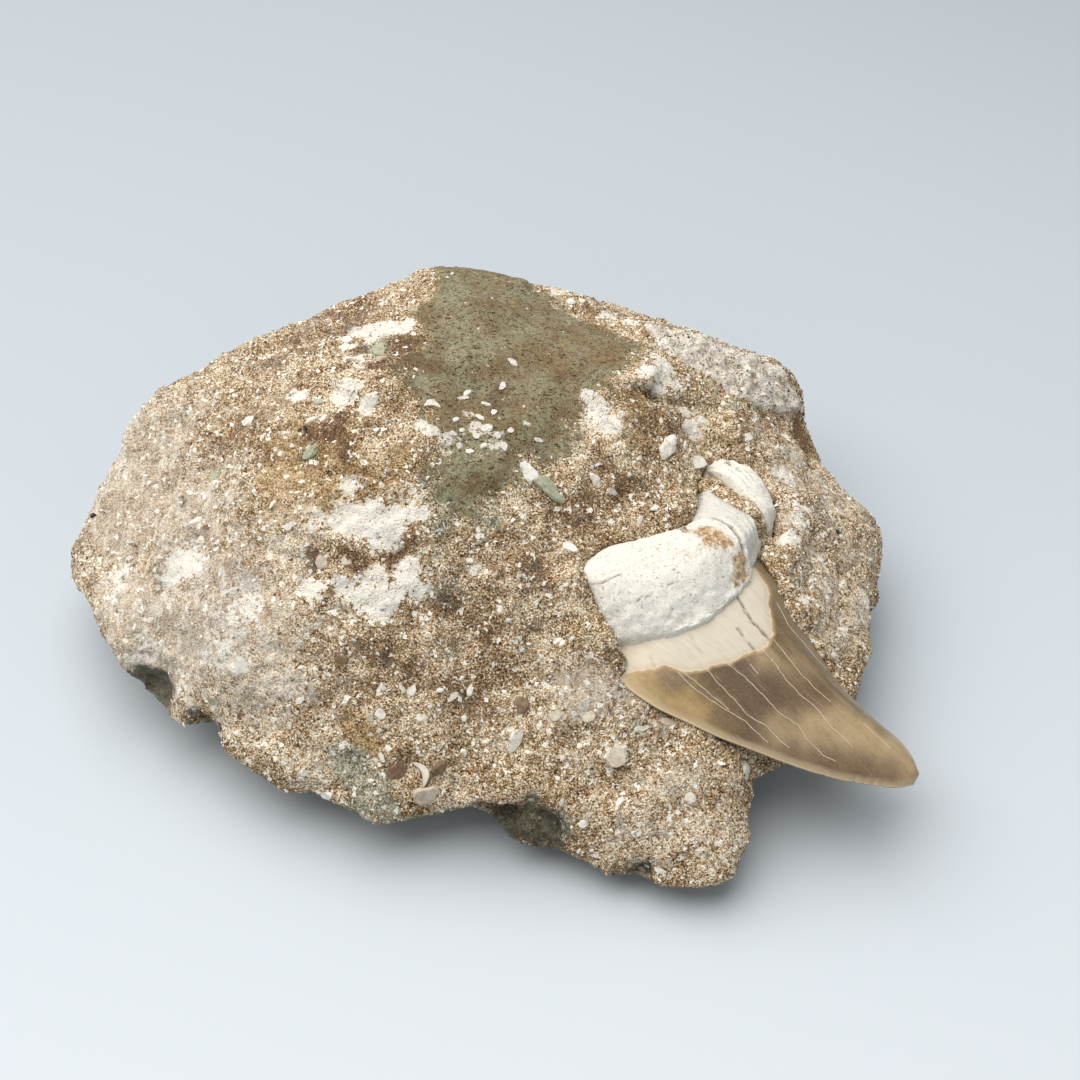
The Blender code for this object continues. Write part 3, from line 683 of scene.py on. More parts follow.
def tooth_axes():
    point = np.array([
        math.cos(TIP_DIP) * math.cos(TIP_HEADING), math.cos(TIP_DIP) * math.sin(TIP_HEADING),
        -math.sin(TIP_DIP),
    ])
    level = np.array([-math.sin(TIP_HEADING), math.cos(TIP_HEADING), 0.0])
    across = level * math.cos(TOOTH_ROLL) - np.cross(point, level) * math.sin(TOOTH_ROLL)
    return np.array([across, point, np.cross(point, across)])


def lay(places):
    """Places of the tooth's own frame, where they are in the specimen."""
    return TOOTH_AT + np.asarray(places) @ tooth_axes()


def spaced_out(line, measured, shares):
    """Places at shares of the way along a line, whose lengths are those of the line as measured."""
    steps = np.linalg.norm(np.diff(measured, axis=0), axis=1)
    reach = np.concatenate([[0], np.cumsum(steps)])
    return np.stack([np.interp(shares * reach[-1], reach, column) for column in line.T], axis=-1)


def smooth_line(points, count, bias=1.0):
    """Places on the smooth curve through some points, evenly spaced, or closer at its end."""
    rows = np.array(points, float)
    rows = np.vstack([2 * rows[0] - rows[1], rows, 2 * rows[-1] - rows[-2]])
    fine = []
    for before, a, b, after in zip(rows, rows[1:], rows[2:], rows[3:]):
        for t in np.linspace(0, 1, 12, endpoint=False):
            fine.append(
                a + t * (b - before) / 2
                + t**2 * (before - 2.5 * a + 2 * b - after / 2)
                + t**3 * (1.5 * (a - b) + (after - before) / 2)
            )
    fine = np.array(fine + [rows[-2]])
    return spaced_out(fine, fine[:, :2], np.linspace(0, 1, count) ** bias)


def rings_to_mesh(name, rings):
    """A closed skin over rings of places, each as many places round as the next."""
    count, around = rings.shape[:2]
    first = np.arange(count * around).reshape(count, around)
    low, high = first[:-1], first[1:]
    quads = np.stack([low, np.roll(low, -1, 1), np.roll(high, -1, 1), high], -1).reshape(-1, 4)
    faces = quads.tolist() + [first[0].tolist(), first[-1].tolist()]
    mesh = bpy.data.meshes.new(name)
    mesh.from_pydata((rings.reshape(-1, 3) * MM).tolist(), [], faces)
    skin = bmesh.new()
    skin.from_mesh(mesh)
    bmesh.ops.triangulate(skin, faces=[face for face in skin.faces if len(face.verts) > 4])
    bmesh.ops.recalc_face_normals(skin, faces=skin.faces)
    skin.to_mesh(mesh)
    skin.free()
    return mesh


def ridged(turn):
    """From 0 at either edge of the crown to 1 at its ridge, for shares of the way across it."""
    return np.where(turn < RIDGE_ACROSS, turn / RIDGE_ACROSS, (1 - turn) / (1 - RIDGE_ACROSS))


def uneven(places, size, *seeds):
    """Soft noise along each axis, with features of a given size, to bend the places by."""
    return np.column_stack([rough(places, size, seed) for seed in seeds])


def laid_out(turn):
    """Places across each station, with the chips taken out of the left margin."""
    bitten = chipped[:, None] * np.exp(-turn[None] * width[:, None] / 0.8)
    full = left[:, None] + (right - left)[:, None] * turn[None, :, None]
    return full - outward[:, None] * bitten[..., None]


left = smooth_line(LEFT_EDGE, CROWN_STATIONS, 0.85)
right = smooth_line(RIGHT_EDGE, CROWN_STATIONS, 0.85)
stations = np.linspace(0, 1, CROWN_STATIONS)
width = np.linalg.norm(right - left, axis=1)
outward = (left - right) / width[:, None]
margin_noise = rough(np.column_stack([left, left[:, 0] * 0]), 0.9, 3.1)
chipped = MARGIN_WEAR * np.abs(margin_noise) * smooth_step(stations, 0.2, 0.6)
for place, depth in CHIPPED:
    chipped += depth * np.exp(-((stations - place) / CHIP_HALF) ** 2)
turn = (1 - np.cos(np.linspace(0, np.pi, CROWN_FRONT))) / 2
front = np.sin(ridged(turn) * np.pi / 2) ** np.where(turn < RIDGE_ACROSS, 1.15, 0.8)
back_turn = (1 - np.cos(np.linspace(np.pi, 0, CROWN_BACK))) / 2
back = np.sin(back_turn * np.pi) ** 0.6
over = laid_out(turn)
under = laid_out(back_turn)
rise = np.hypot((CROWN_RISE[0] + CROWN_RISE[1] * width)[:, None] * front, MARGIN_HALF)
sink = np.hypot((CROWN_SINK[0] + CROWN_SINK[1] * width)[:, None] * back, MARGIN_HALF)
crown_rings = np.concatenate([np.dstack([over, rise]), np.dstack([under, -sink])], axis=1)
flat = crown_rings.reshape(-1, 3)
flat_wavy = flat + 0.35 * np.column_stack([rough(flat, 1.6, 4.0), rough(flat, 1.2, 8.0), flat[:, 0] * 0])
beyond = inside(flat_wavy, ENAMEL_BASE + [(45, -8), (45, 60), (-45, 60), (-45, -1)])
beyond = np.where(flat[:, 2] < 0, np.maximum(beyond, flat[:, 1] + 2), beyond)
all_turns = np.concatenate([turn, back_turn])
margin = np.tile(np.minimum(all_turns, 1 - all_turns), CROWN_STATIONS)
margin *= np.repeat(width, CROWN_FRONT + CROWN_BACK)
swelling = ENAMEL_PROUD * smooth_step(beyond, -0.1, 0.3) * smooth_step(margin, 0.1, 1.2)
drawn_out = np.column_stack([flat[:, 0] - 0.27 * flat[:, 1], flat[:, 1] * 0.09, flat[:, 0] * 0])
swelling += SWELLS * rough(drawn_out, 2.6, 6.0) * smooth_step(margin, 0.5, 2.5)
swelling += WRINKLES * rough(drawn_out, 0.7, 1.0) * smooth_step(margin, 0.3, 1.5)
lifted = flat.copy()
lifted[:, 2] += np.where(flat[:, 2] > 0, swelling, 0)
crown = mesh_object("tooth_crown", rings_to_mesh("tooth_crown", lay(lifted).reshape(crown_rings.shape)))
crown_skin = surface_of(crown)
cracked = np.zeros(len(flat))
for pixels, deep in zip(NECK_CRACKS, CRACK_DEPTHS):
    places, tilt = corners_of(crown.data)
    reach = along(places + 0.25 * uneven(places, 1.3, 1, 2, 3), meet_all(crown_skin, pixels))
    share = np.exp(-((reach / CRACK_HALF) ** 2))
    cracked = np.maximum(cracked, share * min(1, 3 * deep))
    move_corners(crown.data, places - tilt * (deep * share)[:, None])
store(crown.data, "cracked", cracked)
store(crown.data, "beyond", beyond)
store(crown.data, "margin", margin)
places, _ = corners_of(crown.data)
crown_skin = surface_of(crown)
for name, rows in CROWN_PATCHES.items():
    store(crown.data, name, patches(places, rows, crown_skin))
store(crown.data, "lie", flat * MM)
crown.data.shade_smooth()

enamel = Finish("enamel and neck", Coat_Roughness=0.15, Specular_IOR_Level=0.3)
lying = enamel.stored("lie", "Vector")
parts = enamel.node("ShaderNodeSeparateXYZ", None, lying)
across_mm = parts / MM
along_mm = Wire(enamel, parts.socket.node.outputs[1]) / MM
drawn = enamel.node(
    "ShaderNodeCombineXYZ", None, (across_mm - along_mm * 0.27) * MM, along_mm * (0.08 * MM), 0.0,
)
bands = enamel.noise(2.2, 4, 0.62, where=drawn)
hairs = enamel.noise(0.5, 3, 0.7, where=drawn)
clouds = enamel.noise(7, 3, 0.6, where=lying)
rim = enamel.stored("margin")
edge = enamel.stored("beyond")
ragged = (clouds - 0.5) * 0.9 + (bands - 0.5) * 1.3


def stain(name):
    return enamel.step(enamel.stored(name) + ragged, 0, 1.1)


honey = enamel.mix(bands, (0.115, 0.072, 0.034), (0.26, 0.18, 0.092))
amber = enamel.mix(enamel.noise(3, 4, 0.6, where=lying), (0.30, 0.185, 0.060), (0.60, 0.42, 0.19))
grainy = enamel.noise(0.4, 4, 0.75, where=lying)
shade = enamel.painted(
    honey,
    (stain("amber"), amber),
    (stain("tan") * 0.9, enamel.mix(clouds, (0.40, 0.275, 0.14), (0.62, 0.465, 0.275))),
    (stain("cloud") * 0.75, enamel.mix(bands, (0.080, 0.046, 0.027), (0.175, 0.116, 0.070))),
    (stain("plum") * 0.6, (0.135, 0.07, 0.048)),
    # A lighter band right of the ridge, where the enamel's soft sheen is painted in.
    (enamel.step(across_mm - along_mm * 0.2, 4.5, 8.5) * 0.45, (0.34, 0.26, 0.165)),
    (enamel.step(hairs, 0.58, 0.7) * 0.3, (0.50, 0.385, 0.23)),
    ((1 - enamel.step(hairs, 0.3, 0.42)) * 0.35, (0.12, 0.075, 0.045)),
    (enamel.step(grainy, 0.5, 0.66) * 0.28, (0.40, 0.30, 0.18)),
    ((1 - enamel.step(grainy, 0.36, 0.46)) * 0.3, (0.10, 0.062, 0.036)),
    ((1 - enamel.step(rim + (clouds - 0.5) * 0.8, 0.5, 1.5)) * 0.65, (0.60, 0.47, 0.285)),
    ((1 - enamel.step(edge, 0.1, 0.8)) * 0.55, (0.46, 0.30, 0.13)),
)
bone = enamel.painted(
    enamel.mix(enamel.noise(0.55, 3, 0.7, where=drawn), (0.61, 0.52, 0.385), (0.82, 0.745, 0.61)),
    (enamel.step(enamel.noise(0.33, 2, 0.6, where=drawn), 0.62, 0.7) * 0.35, (0.42, 0.31, 0.18)),
    ((1 - enamel.step(edge * -1 + (clouds - 0.5), 0.1, 1.4)) * 0.4, (0.60, 0.44, 0.26)),
    (enamel.stored("cracked") * 0.9, (0.13, 0.075, 0.04)),
)
is_enamel = enamel.step(edge + (enamel.noise(0.5, 2) - 0.5) * 0.4, -0.08, 0.08)
enamel.surface(Base_Color=enamel.mix(is_enamel, bone, shade), Roughness=0.85 - is_enamel * 0.53,
               Coat_Weight=is_enamel * 0.12)
enamel.bump(hairs * 0.5 + enamel.noise(0.25, 2) * (1 - is_enamel), 0.05)
crown.data.materials.append(enamel.material)
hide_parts("tooth")
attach(crown, "root")

# The tooth's root: chalky white bone, a thick bar bent into two lobes. Its long left lobe ends in
# a clean break. A smooth lip wraps round the swollen middle, and an open crack, packed with sand,
# parts it from the thin right lobe. It overhangs the neck.
ROOT = [  # across, along, half-width, and how high and low it reaches
    (-17.2, -11.4, 7.6, 5.6, -1.6), (-16, -11.2, 9.2, 7.2, -2.2), (-13, -10.4, 10.4, 8.2, -2.6),
    (-9, -9.2, 10.6, 9.6, -2.9), (-4, -7.6, 10.3, 11.4, -3.1), (1.8, -6.6, 9.9, 12.8, -3.2),
    (7.4, -8, 9.4, 12, -3.1), (12.8, -12.2, 8.8, 10.2, -2.8), (17.4, -17.5, 7.4, 8.2, -2.4),
    (19.9, -22.2, 5.4, 6.6, -1.8), (20.3, -26, 2.6, 4.4, -0.6),
]
ROOT_STATIONS, ROOT_AROUND = 300, 230
ROOT_STAINS = [  # pixel, reach, strength
    (706, 531, 2.2, 1), (716, 536, 2.6, 1), (724, 541, 1.8, 1), (741, 560, 1.8, 0.9), (742, 572, 2, 1),
    (738, 580, 1.4, 0.8), (690, 528, 1.8, 0.7), (664, 548, 2.4, 0.4), (656, 560, 2.6, 0.35),
    (680, 556, 2.4, 0.4), (700, 545, 2, 0.5),
]
ROOT_SQUARE = 2.2  # its section is an ellipse at 2, and squarer above
NECK_STEP = [
    (-22, -6.4), (-17.8, -5), (-15.7, -3.5), (-14.4, -2.7), (-12.5, -1.5), (-10.9, -0.3), (-9.2, 0.6),
    (-7.4, 1.3), (-5.5, 1.55), (-3.3, 1.65), (-1.2, 1.5), (2.3, 0.9), (5.9, -0.4), (8.8, -2.2),
]
STEP_HEIGHT = 0.9  # of the root's lower edge over the neck
SLOPE_REACH = 9.0  # how far in from that edge it slopes down to it
SLOPE_SHORTER = 4.5  # less than that at the right
NECK_RISE = 8.3  # of the neck's middle over its two ends, which lie this far across
NECK_ENDS = (-20, 18)
BELOW_NECK = 1.5  # how far the root goes down into the neck beyond its edge
SUNKEN_CORNER = [  # right of the lip the root is gone, and the neck shows up to it
    (6.2, 6), (7, -0.6), (8.6, -2.4), (10.8, -3.9), (13.3, -5.6), (15, -6.9), (16.6, -7.2), (24, -7.6),
    (24, 6),
]
CORNER_DEPTH = 8.5
CRACK_DEPTH = 2.6
LIP_DROP = 0.75
STAIN_PITS = 0.9
FOLDS = (0.11, 5.2)  # height of the small folds beside the crack, and how fast they follow each other
LIP_OUTLINE = [
    (2, -16.4), (5, -15.6), (8, -14.3), (9.9, -12.1), (10.2, -9), (9.2, -5.8), (8, -3), (14, -2),
    (22, -10), (20, -30), (0, -30),
]
SAND_CRACK = [
    (14.8, -24.5), (15.3, -21), (15.1, -17.5), (15.6, -14.2), (16.2, -11.6), (16.2, -9.2), (15.9, -6),
]
ROOT_GROOVES = [  # pixels, half-width and depth
    ([(684, 523), (697, 519), (709, 517), (720, 520), (731, 526), (738, 535), (743, 545), (745, 554)],
     0.3, 1.1),
    ([(584, 589), (594, 584), (603, 583), (612, 578), (622, 575)], 0.15, 0.35),
    ([(638, 600), (645, 597), (653, 596)], 0.15, 0.3), ([(667, 585), (679, 580)], 0.15, 0.2),
    ([(726, 462), (741, 471), (746, 466)], 0.2, 0.5),
]
rows = smooth_line(ROOT, ROOT_STATIONS)
spine = rows[:, :2]
ahead = np.gradient(spine, axis=0)
ahead /= np.linalg.norm(ahead, axis=1)[:, None]
side = np.stack([-ahead[:, 1], ahead[:, 0]], axis=1)
swing = np.linspace(0, 2 * np.pi, ROOT_AROUND, endpoint=False)
reach_out = np.sign(np.cos(swing)) * np.abs(np.cos(swing)) ** (2 / ROOT_SQUARE)
lift = np.sign(np.sin(swing)) * np.abs(np.sin(swing)) ** (2 / ROOT_SQUARE)
half, top, bottom = rows[:, 2, None], rows[:, 3, None], rows[:, 4, None]
plan = spine[:, None] + side[:, None] * (half * reach_out)[..., None]
level = (top + bottom) / 2 + (top - bottom) / 2 * lift
bone_rings = np.dstack([plan, level])
root = mesh_object("tooth_root", rings_to_mesh("tooth_root", lay(bone_rings)))
in_frame = bone_rings.reshape(-1, 3).copy()
up = tooth_axes()[2]


def carve(obj, depths):
    places, tilt = corners_of(obj.data)
    move_corners(obj.data, places + tilt * depths[:, None])


crack_line = smooth_line(SAND_CRACK, 30)
from_crack = along(in_frame[:, :2], crack_line)
neck_turn = np.clip((in_frame[:, 0] - NECK_ENDS[0]) / (NECK_ENDS[1] - NECK_ENDS[0]), 0, 1)
neck_level = NECK_RISE * np.sin(ridged(neck_turn) * np.pi / 2) + STEP_HEIGHT
neck_level = roughened(neck_level, in_frame, (0.45, 1.4, 12))
from_edge = inside(in_frame, NECK_STEP + [(20, -8), (30, -40), (-40, -40), (-40, -6)])
from_edge = roughened(from_edge, in_frame, (0.35, 2.4, 14), (0.15, 0.9, 4))
above_step = np.maximum(0, in_frame[:, 2] - neck_level)
slope_reach = SLOPE_REACH - SLOPE_SHORTER * smooth_step(in_frame[:, 0], 2, 10)
slope = (1 - np.clip(from_edge / slope_reach, 0, 1)) ** 1.7
settled = above_step * slope + (STEP_HEIGHT + BELOW_NECK) * (1 - smooth_step(from_edge, -0.35, 0.35))
settled *= np.maximum(smooth_step(in_frame[:, 1], -12, -7), smooth_step(-in_frame[:, 0], -6, -2))
settled *= in_frame[:, 2] > 0
in_corner = smooth_step(inside(in_frame, SUNKEN_CORNER), -0.3, 0.5)
settled += CORNER_DEPTH * in_corner * (in_frame[:, 2] > 0)
in_frame[:, 2] -= settled
move_corners(root.data, lay(in_frame))
root_skin = surface_of(root)
places, tilt = corners_of(root.data)
facing = smooth_step(tilt @ up, 0.1, 0.4)
crack_half = 2.0 - 0.85 * smooth_step(in_frame[:, 1], -18, -8)
lip_side = in_frame[:, 0] < np.interp(in_frame[:, 1], crack_line[:, 1], crack_line[:, 0])
within = smooth_step(crack_half - from_crack, np.where(lip_side, 0, -1.3), 0.7)
work = -CRACK_DEPTH * facing * within * (1 - in_corner)
stained = patches(places, ROOT_STAINS, root_skin)
lip = smooth_step(inside(in_frame, LIP_OUTLINE), -0.3, 0.4)
lip *= smooth_step(16.8 - in_frame[:, 0], 0, 2)
work -= LIP_DROP * lip * facing
work += roughened(0, in_frame, (0.3, 4.5, 3), (0.14, 1.7, 7), (0.09, 0.7, 2)) * (1 - 0.7 * lip)
work -= STAIN_PITS * stained * np.abs(rough(in_frame, 0.9, 11.0))
folds = smooth_step(in_frame[:, 0], 9.5, 12.5) * smooth_step(-in_frame[:, 1], 4, 7)
work += FOLDS[0] * folds * np.sin(from_crack * FOLDS[1] + 1.5 * rough(in_frame, 4.0, 21.0))
cracked = np.zeros(len(places))
for pixels, wide, deep in ROOT_GROOVES:
    reach = along(places + 0.25 * uneven(places, 1.1, 1, 2, 3), meet_all(root_skin, pixels))
    work -= deep * np.exp(-((reach / wide) ** 2))
    cracked = np.maximum(cracked, np.exp(-((reach / wide) ** 2)) * min(1, deep * 4))
carve(root, work)
store(root.data, "cracked", cracked)
store(root.data, "stained", stained)
store(root.data, "lip", lip)
store(root.data, "in_crack", smooth_step(crack_half + 0.4 - from_crack, 0, 0.6) * facing)
store(root.data, "lie", in_frame * MM)
root.data.shade_smooth()

chalky_bone = Finish("root bone", Roughness=0.9, Specular_IOR_Level=0.3)
lying = chalky_bone.stored("lie", "Vector")
fibres = chalky_bone.noise(0.45, 3, 0.7, where=chalky_bone.stretched(1.0, 0.25, 1.0, lying))
mottle = chalky_bone.noise(3.5, 4, 0.65)
stained_here = chalky_bone.stored("stained") + (chalky_bone.noise(1.8, 6, 0.8) - 0.5) * 2.2
rust = chalky_bone.ramp(
    chalky_bone.noise(1.1, 6, 0.85), (0.38, (0.22, 0.095, 0.033)), (0.49, (0.52, 0.30, 0.13)),
    (0.6, (0.84, 0.71, 0.51)),
)
specks = chalky_bone.step(chalky_bone.noise(0.42, 3, 0.7), 0.62, 0.68)
white = chalky_bone.mix(mottle, (0.90, 0.87, 0.79), (1, 0.985, 0.93))
white = chalky_bone.mix(chalky_bone.step(fibres, 0.35, 0.75) * 0.35, (0.82, 0.77, 0.67), white)
white = chalky_bone.mix(chalky_bone.step(fibres, 0.5, 0.62) * 0.7 + 0.3, (0.90, 0.86, 0.76), white)
white = chalky_bone.painted(
    white,
    (specks * 0.45, (0.45, 0.36, 0.25)),
    (chalky_bone.step(stained_here, 0.35, 0.85) * 0.9, rust),
    (chalky_bone.stored("lip") * 0.75, chalky_bone.mix(mottle, (0.62, 0.60, 0.53), (0.76, 0.74, 0.67))),
    (chalky_bone.step(chalky_bone.noise(2.6, 5, 0.75), 0.53, 0.66) * 0.25, (0.72, 0.58, 0.40)),
    (chalky_bone.stored("cracked") * 0.9, (0.11, 0.065, 0.04)),
    (chalky_bone.stored("in_crack") * 0.8, (0.24, 0.15, 0.08)),
)
chalky_bone.surface(Base_Color=white)
chalky_bone.bump(fibres * 0.8 + chalky_bone.noise(0.35, 3, 0.7) - specks, 0.22)
root.data.materials.append(chalky_bone.material)
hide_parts("tooth")
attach(root, "root")

# Calcite has filled the fine cracks that run up the crown: thin white threads, broken here and there,
# that stand a hair above the enamel. Each follows the face through the pixels given.
VEINS = [
    [(678, 672), (690, 685), (709, 699), (726, 710), (745, 721), (756, 732), (768, 742)],
    [(685, 673), (701, 686), (718, 700), (729, 710)],
    [(707, 669), (718, 683), (735, 700), (747, 715), (766, 725), (779, 740), (789, 748)],
    [(728, 664), (745, 677), (766, 698), (779, 713), (798, 725), (806, 738), (823, 755), (836, 762)],
    [(750, 664), (758, 673)],
    [(762, 650), (775, 664), (787, 681), (802, 696), (819, 710), (831, 727), (842, 736), (853, 748)],
    [(774, 640), (787, 656), (802, 675), (819, 692), (831, 702)],
    [(777, 603), (789, 626), (813, 654), (827, 670)], [(863, 723), (876, 735), (890, 748)],
]
VEIN_FINE = [0.95, 0.6, 0.9, 1.0, 0.55, 0.95, 0.8, 0.35, 0.25]  # share of the full thickness
VEIN_HALF = 0.078
VEIN_STEP = 0.3
VEIN_WANDER = 0.16
VEIN_SUNK = 0.02
VEIN_LUMPS = 1.1  # millimetres from one thick place to the next
crown_skin = surface_of(crown)


class Pattern(Nodes):
    """A Geometry Nodes tree with named inputs, used once or more on meshes."""

    def __init__(self, name, **inputs):
        super().__init__(bpy.data.node_groups.new(name, "GeometryNodeTree"))
        sockets = self.tree.interface
        sockets.new_socket("Geometry", in_out="INPUT", socket_type="NodeSocketGeometry")
        sockets.new_socket("Geometry", in_out="OUTPUT", socket_type="NodeSocketGeometry")
        for label, kind in inputs.items():
            sockets.new_socket(label.replace("_", " "), in_out="INPUT", socket_type="NodeSocket" + kind)
        self.start = self.tree.nodes.new("NodeGroupInput")
        self.end = self.tree.nodes.new("NodeGroupOutput")

    def given(self, label):
        return Wire(self, self.start.outputs[label.replace("_", " ")])

    def finish(self, geometry):
        """Ends the tree in plain geometry with its material."""
        plain = self.node("GeometryNodeRealizeInstances", None, geometry)
        clothed = self.node("GeometryNodeSetMaterial", None, plain, Material=self.given("Material"))
        self.feed(self.end.inputs[0], clothed)

    def made_on(self, obj, **values):
        """What the tree makes of an object, as a plain mesh in its place."""
        modifier = obj.modifiers.new(self.tree.name, "NODES")
        modifier.node_group = self.tree
        for item in self.tree.interface.items_tree:
            label = item.name.replace(" ", "_")
            if item.in_out == "INPUT" and label in values:
                modifier[item.identifier] = values[label]
        return applied(obj)


threads = Pattern("calcite threads", Half_thickness="Float", Material="Material")
curve = threads.node("GeometryNodeMeshToCurve", None, threads.given("Geometry"))
lumpy = threads.node("ShaderNodeTexNoise", None, Scale=1 / (VEIN_LUMPS * MM), Detail=2.0)
fine = threads.node("GeometryNodeInputNamedAttribute", {"data_type": "FLOAT"}, "fine")
swell = (lumpy - 0.44) * 7.5
thick = threads.node("ShaderNodeMath", {"operation": "MAXIMUM", "use_clamp": True}, swell, 0.06)
curve = threads.node("GeometryNodeSetCurveRadius", None, curve, Radius=thick * fine)
half = threads.given("Half_thickness")
section = threads.node("GeometryNodeCurvePrimitiveCircle", None, Resolution=6, Radius=half)
tube = threads.node("GeometryNodeCurveToMesh", None, curve, section)
tube = threads.node("GeometryNodeSetShadeSmooth", None, tube)
threads.finish(tube)

places, links, fineness = [], [], []
for pixels, fine_share in zip(VEINS, VEIN_FINE):
    path = meet_all(crown_skin, pixels)
    length = np.linalg.norm(np.diff(path, axis=0), axis=1).sum()
    count = max(4, int(length / VEIN_STEP))
    run = spaced_out(path, path, np.linspace(0, 1, count))
    run += VEIN_WANDER * uneven(run, 1.6, 1, 5, 9)
    first = len(places)
    for place in run:
        onto, normal, _, _ = crown_skin.find_nearest(Vector(place * MM))
        places.append(onto - normal * VEIN_SUNK * MM)
        fineness.append(fine_share)
    links += [(first + i, first + i + 1) for i in range(count - 1)]
mesh = bpy.data.meshes.new("calcite_veins")
mesh.from_pydata(places, links, [])
store(mesh, "fine", fineness)
veins = mesh_object("calcite_veins", mesh)
calcite = Finish("calcite", Roughness=0.7)
calcite.surface(Base_Color=calcite.mix(calcite.noise(0.7, 3, 0.7), (0.42, 0.31, 0.18), (0.86, 0.78, 0.63)))
calcite.bump(calcite.noise(0.2, 2), 0.03)
threads.made_on(veins, Half_thickness=VEIN_HALF * MM, Material=calcite.material)
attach(veins, "root")

# Sand of the lump is still packed in the root's open crack, and spills over the crown's corner.
PACKED = [(14.2, -26.5)] + SAND_CRACK[:-1] + [(17, -6.6), (16.2, -4), (15.2, -1), (16, 1.2), (17.2, 3.4)]
PACKED_PROFILE = np.array([  # share along it, half its width, and how far its middle is lifted
    (0, 0.8, 0), (0.08, 2.4, 0.2), (0.38, 2.3, -0.1), (0.5, 1.7, -0.2), (0.6, 1.6, -0.1),
    (0.67, 2.8, 1.2), (0.76, 3.2, 1.5), (0.86, 3, 1.3), (0.93, 2.1, 0.6), (1, 0.4, -0.5),
])
PACKED_STATIONS, PACKED_AROUND = 90, 28
PACKED_LIFT = 1.1
PACKED_HALF_HEIGHT = 1.6
OVERHEAD = 30.0  # over the tooth, from where the floor under the sand is felt for
packing_line = smooth_line(PACKED, PACKED_STATIONS)
root_skin = surface_of(root)
floors = []
for place in packing_line:
    over_it = Vector(lay([*place, OVERHEAD]) * MM)
    met = [skin.ray_cast(over_it, Vector(-up))[0] for skin in (root_skin, crown_skin)]
    floors.append(max([(np.array(onto) / MM - TOOTH_AT) @ up for onto in met if onto] or [0.0]))
floors = np.convolve(np.pad(floors, 4, "edge"), np.ones(9) / 9, "valid")
packing_rings = []
shares, halves, lifts = PACKED_PROFILE.T
for step, (place, ahead_of) in enumerate(zip(packing_line, np.gradient(packing_line, axis=0))):
    wide, raised = (np.interp(step / (len(packing_line) - 1), shares, column) for column in (halves, lifts))
    across = np.array([-ahead_of[1], ahead_of[0]]) / np.linalg.norm(ahead_of)
    ring = []
    for angle in np.linspace(0, 2 * np.pi, PACKED_AROUND, endpoint=False):
        out = raised + PACKED_LIFT * min(1, wide / 1.75)
        out += min(PACKED_HALF_HEIGHT, wide * 0.9) * math.sin(angle)
        ring.append((*(place + across * wide * math.cos(angle)), floors[step] + out))
    packing_rings.append(ring)
packing = mesh_object("packed_sand", rings_to_mesh("packed_sand", lay(np.array(packing_rings))))
places, _ = corners_of(packing.data)
carve(packing, roughened(0, places, (0.45, 1.8, 4), (0.25, 0.8, 6)))
packing.data.shade_smooth()
packing.data.materials.append(sand.material)
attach(packing, "root")

# The sand closes up against the tooth all round, as it did when both were buried.
BEDDED_WITHIN = 1.25  # millimetres from the tooth
PRESSED_IN = 0.12
corners, _ = corners_of(lump.data)
for skin in (surface_of(root), surface_of(crown)):
    for index in np.flatnonzero(resting > 0.9).tolist():
        place = Vector(corners[index] * MM)
        onto, outward_there, _, gap = skin.find_nearest(place, BEDDED_WITHIN * MM)
        if onto is None or (place - onto).dot(outward_there) < 0:
            continue
        share = 1 - (gap / (BEDDED_WITHIN * MM)) ** 2
        target = onto - outward_there * PRESSED_IN * MM
        corners[index] += (np.array(target) / MM - corners[index]) * share
move_corners(lump.data, corners)
ground = surface_of(lump)

# Grains stand out of the sand all over: quartz and phosphate, tan, brown and pale, and flat flecks of
# shell, each half sunk. They are strewn evenly, more thinly underneath, on the clay and on chalk.
GRAINS = {  # how many to a square centimetre, least and greatest half-size, flatness, sinking, seed
    "tan_grains": (104, 0.10, 0.30, 0.8, 0.35, 3),
    "brown_grains": (92, 0.10, 0.28, 0.8, 0.35, 8),
    "pale_grains": (92, 0.10, 0.34, 0.7, 0.30, 12),
    "shell_flecks": (8, 0.22, 0.66, 0.36, 0.25, 21),
}
GRAIN_SIDES, GRAIN_LAYERS = 4, 2
GRAIN_SHAPES = 5
strewn = Pattern("strewn grains", Per_square_metre="Float", Least="Float", Greatest="Float",
                 Flatness="Float", Sunk="Float", Seed="Int", Material="Material")
wanted = strewn.node("GeometryNodeInputNamedAttribute", {"data_type": "FLOAT"}, "loose")
spread = strewn.node("GeometryNodeDistributePointsOnFaces", None, strewn.given("Geometry"),
                     Density=strewn.given("Per_square_metre") * wanted, Seed=strewn.given("Seed"))
spots = spread.socket.node
shapes = strewn.node("GeometryNodeJoinGeometry")
for variant in range(GRAIN_SHAPES):
    ball = strewn.node("GeometryNodeMeshUVSphere", None, GRAIN_SIDES, GRAIN_LAYERS, 1.0)
    settings = {"noise_dimensions": "4D"}
    warp = strewn.node("ShaderNodeTexNoise", settings, W=variant * 3.7, Scale=1.3, out="Color")
    offset = strewn.node("ShaderNodeVectorMath", {"operation": "SUBTRACT"}, warp, (0.5, 0.5, 0.5))
    offset = strewn.node("ShaderNodeVectorMath", {"operation": "MULTIPLY"}, offset, (1.5, 1.5, 1.5))
    warped = strewn.node("GeometryNodeSetPosition", None, ball, Offset=offset)
    strewn.feed(shapes.socket.node.inputs[0], strewn.node("GeometryNodeGeometryToInstance", None, warped))


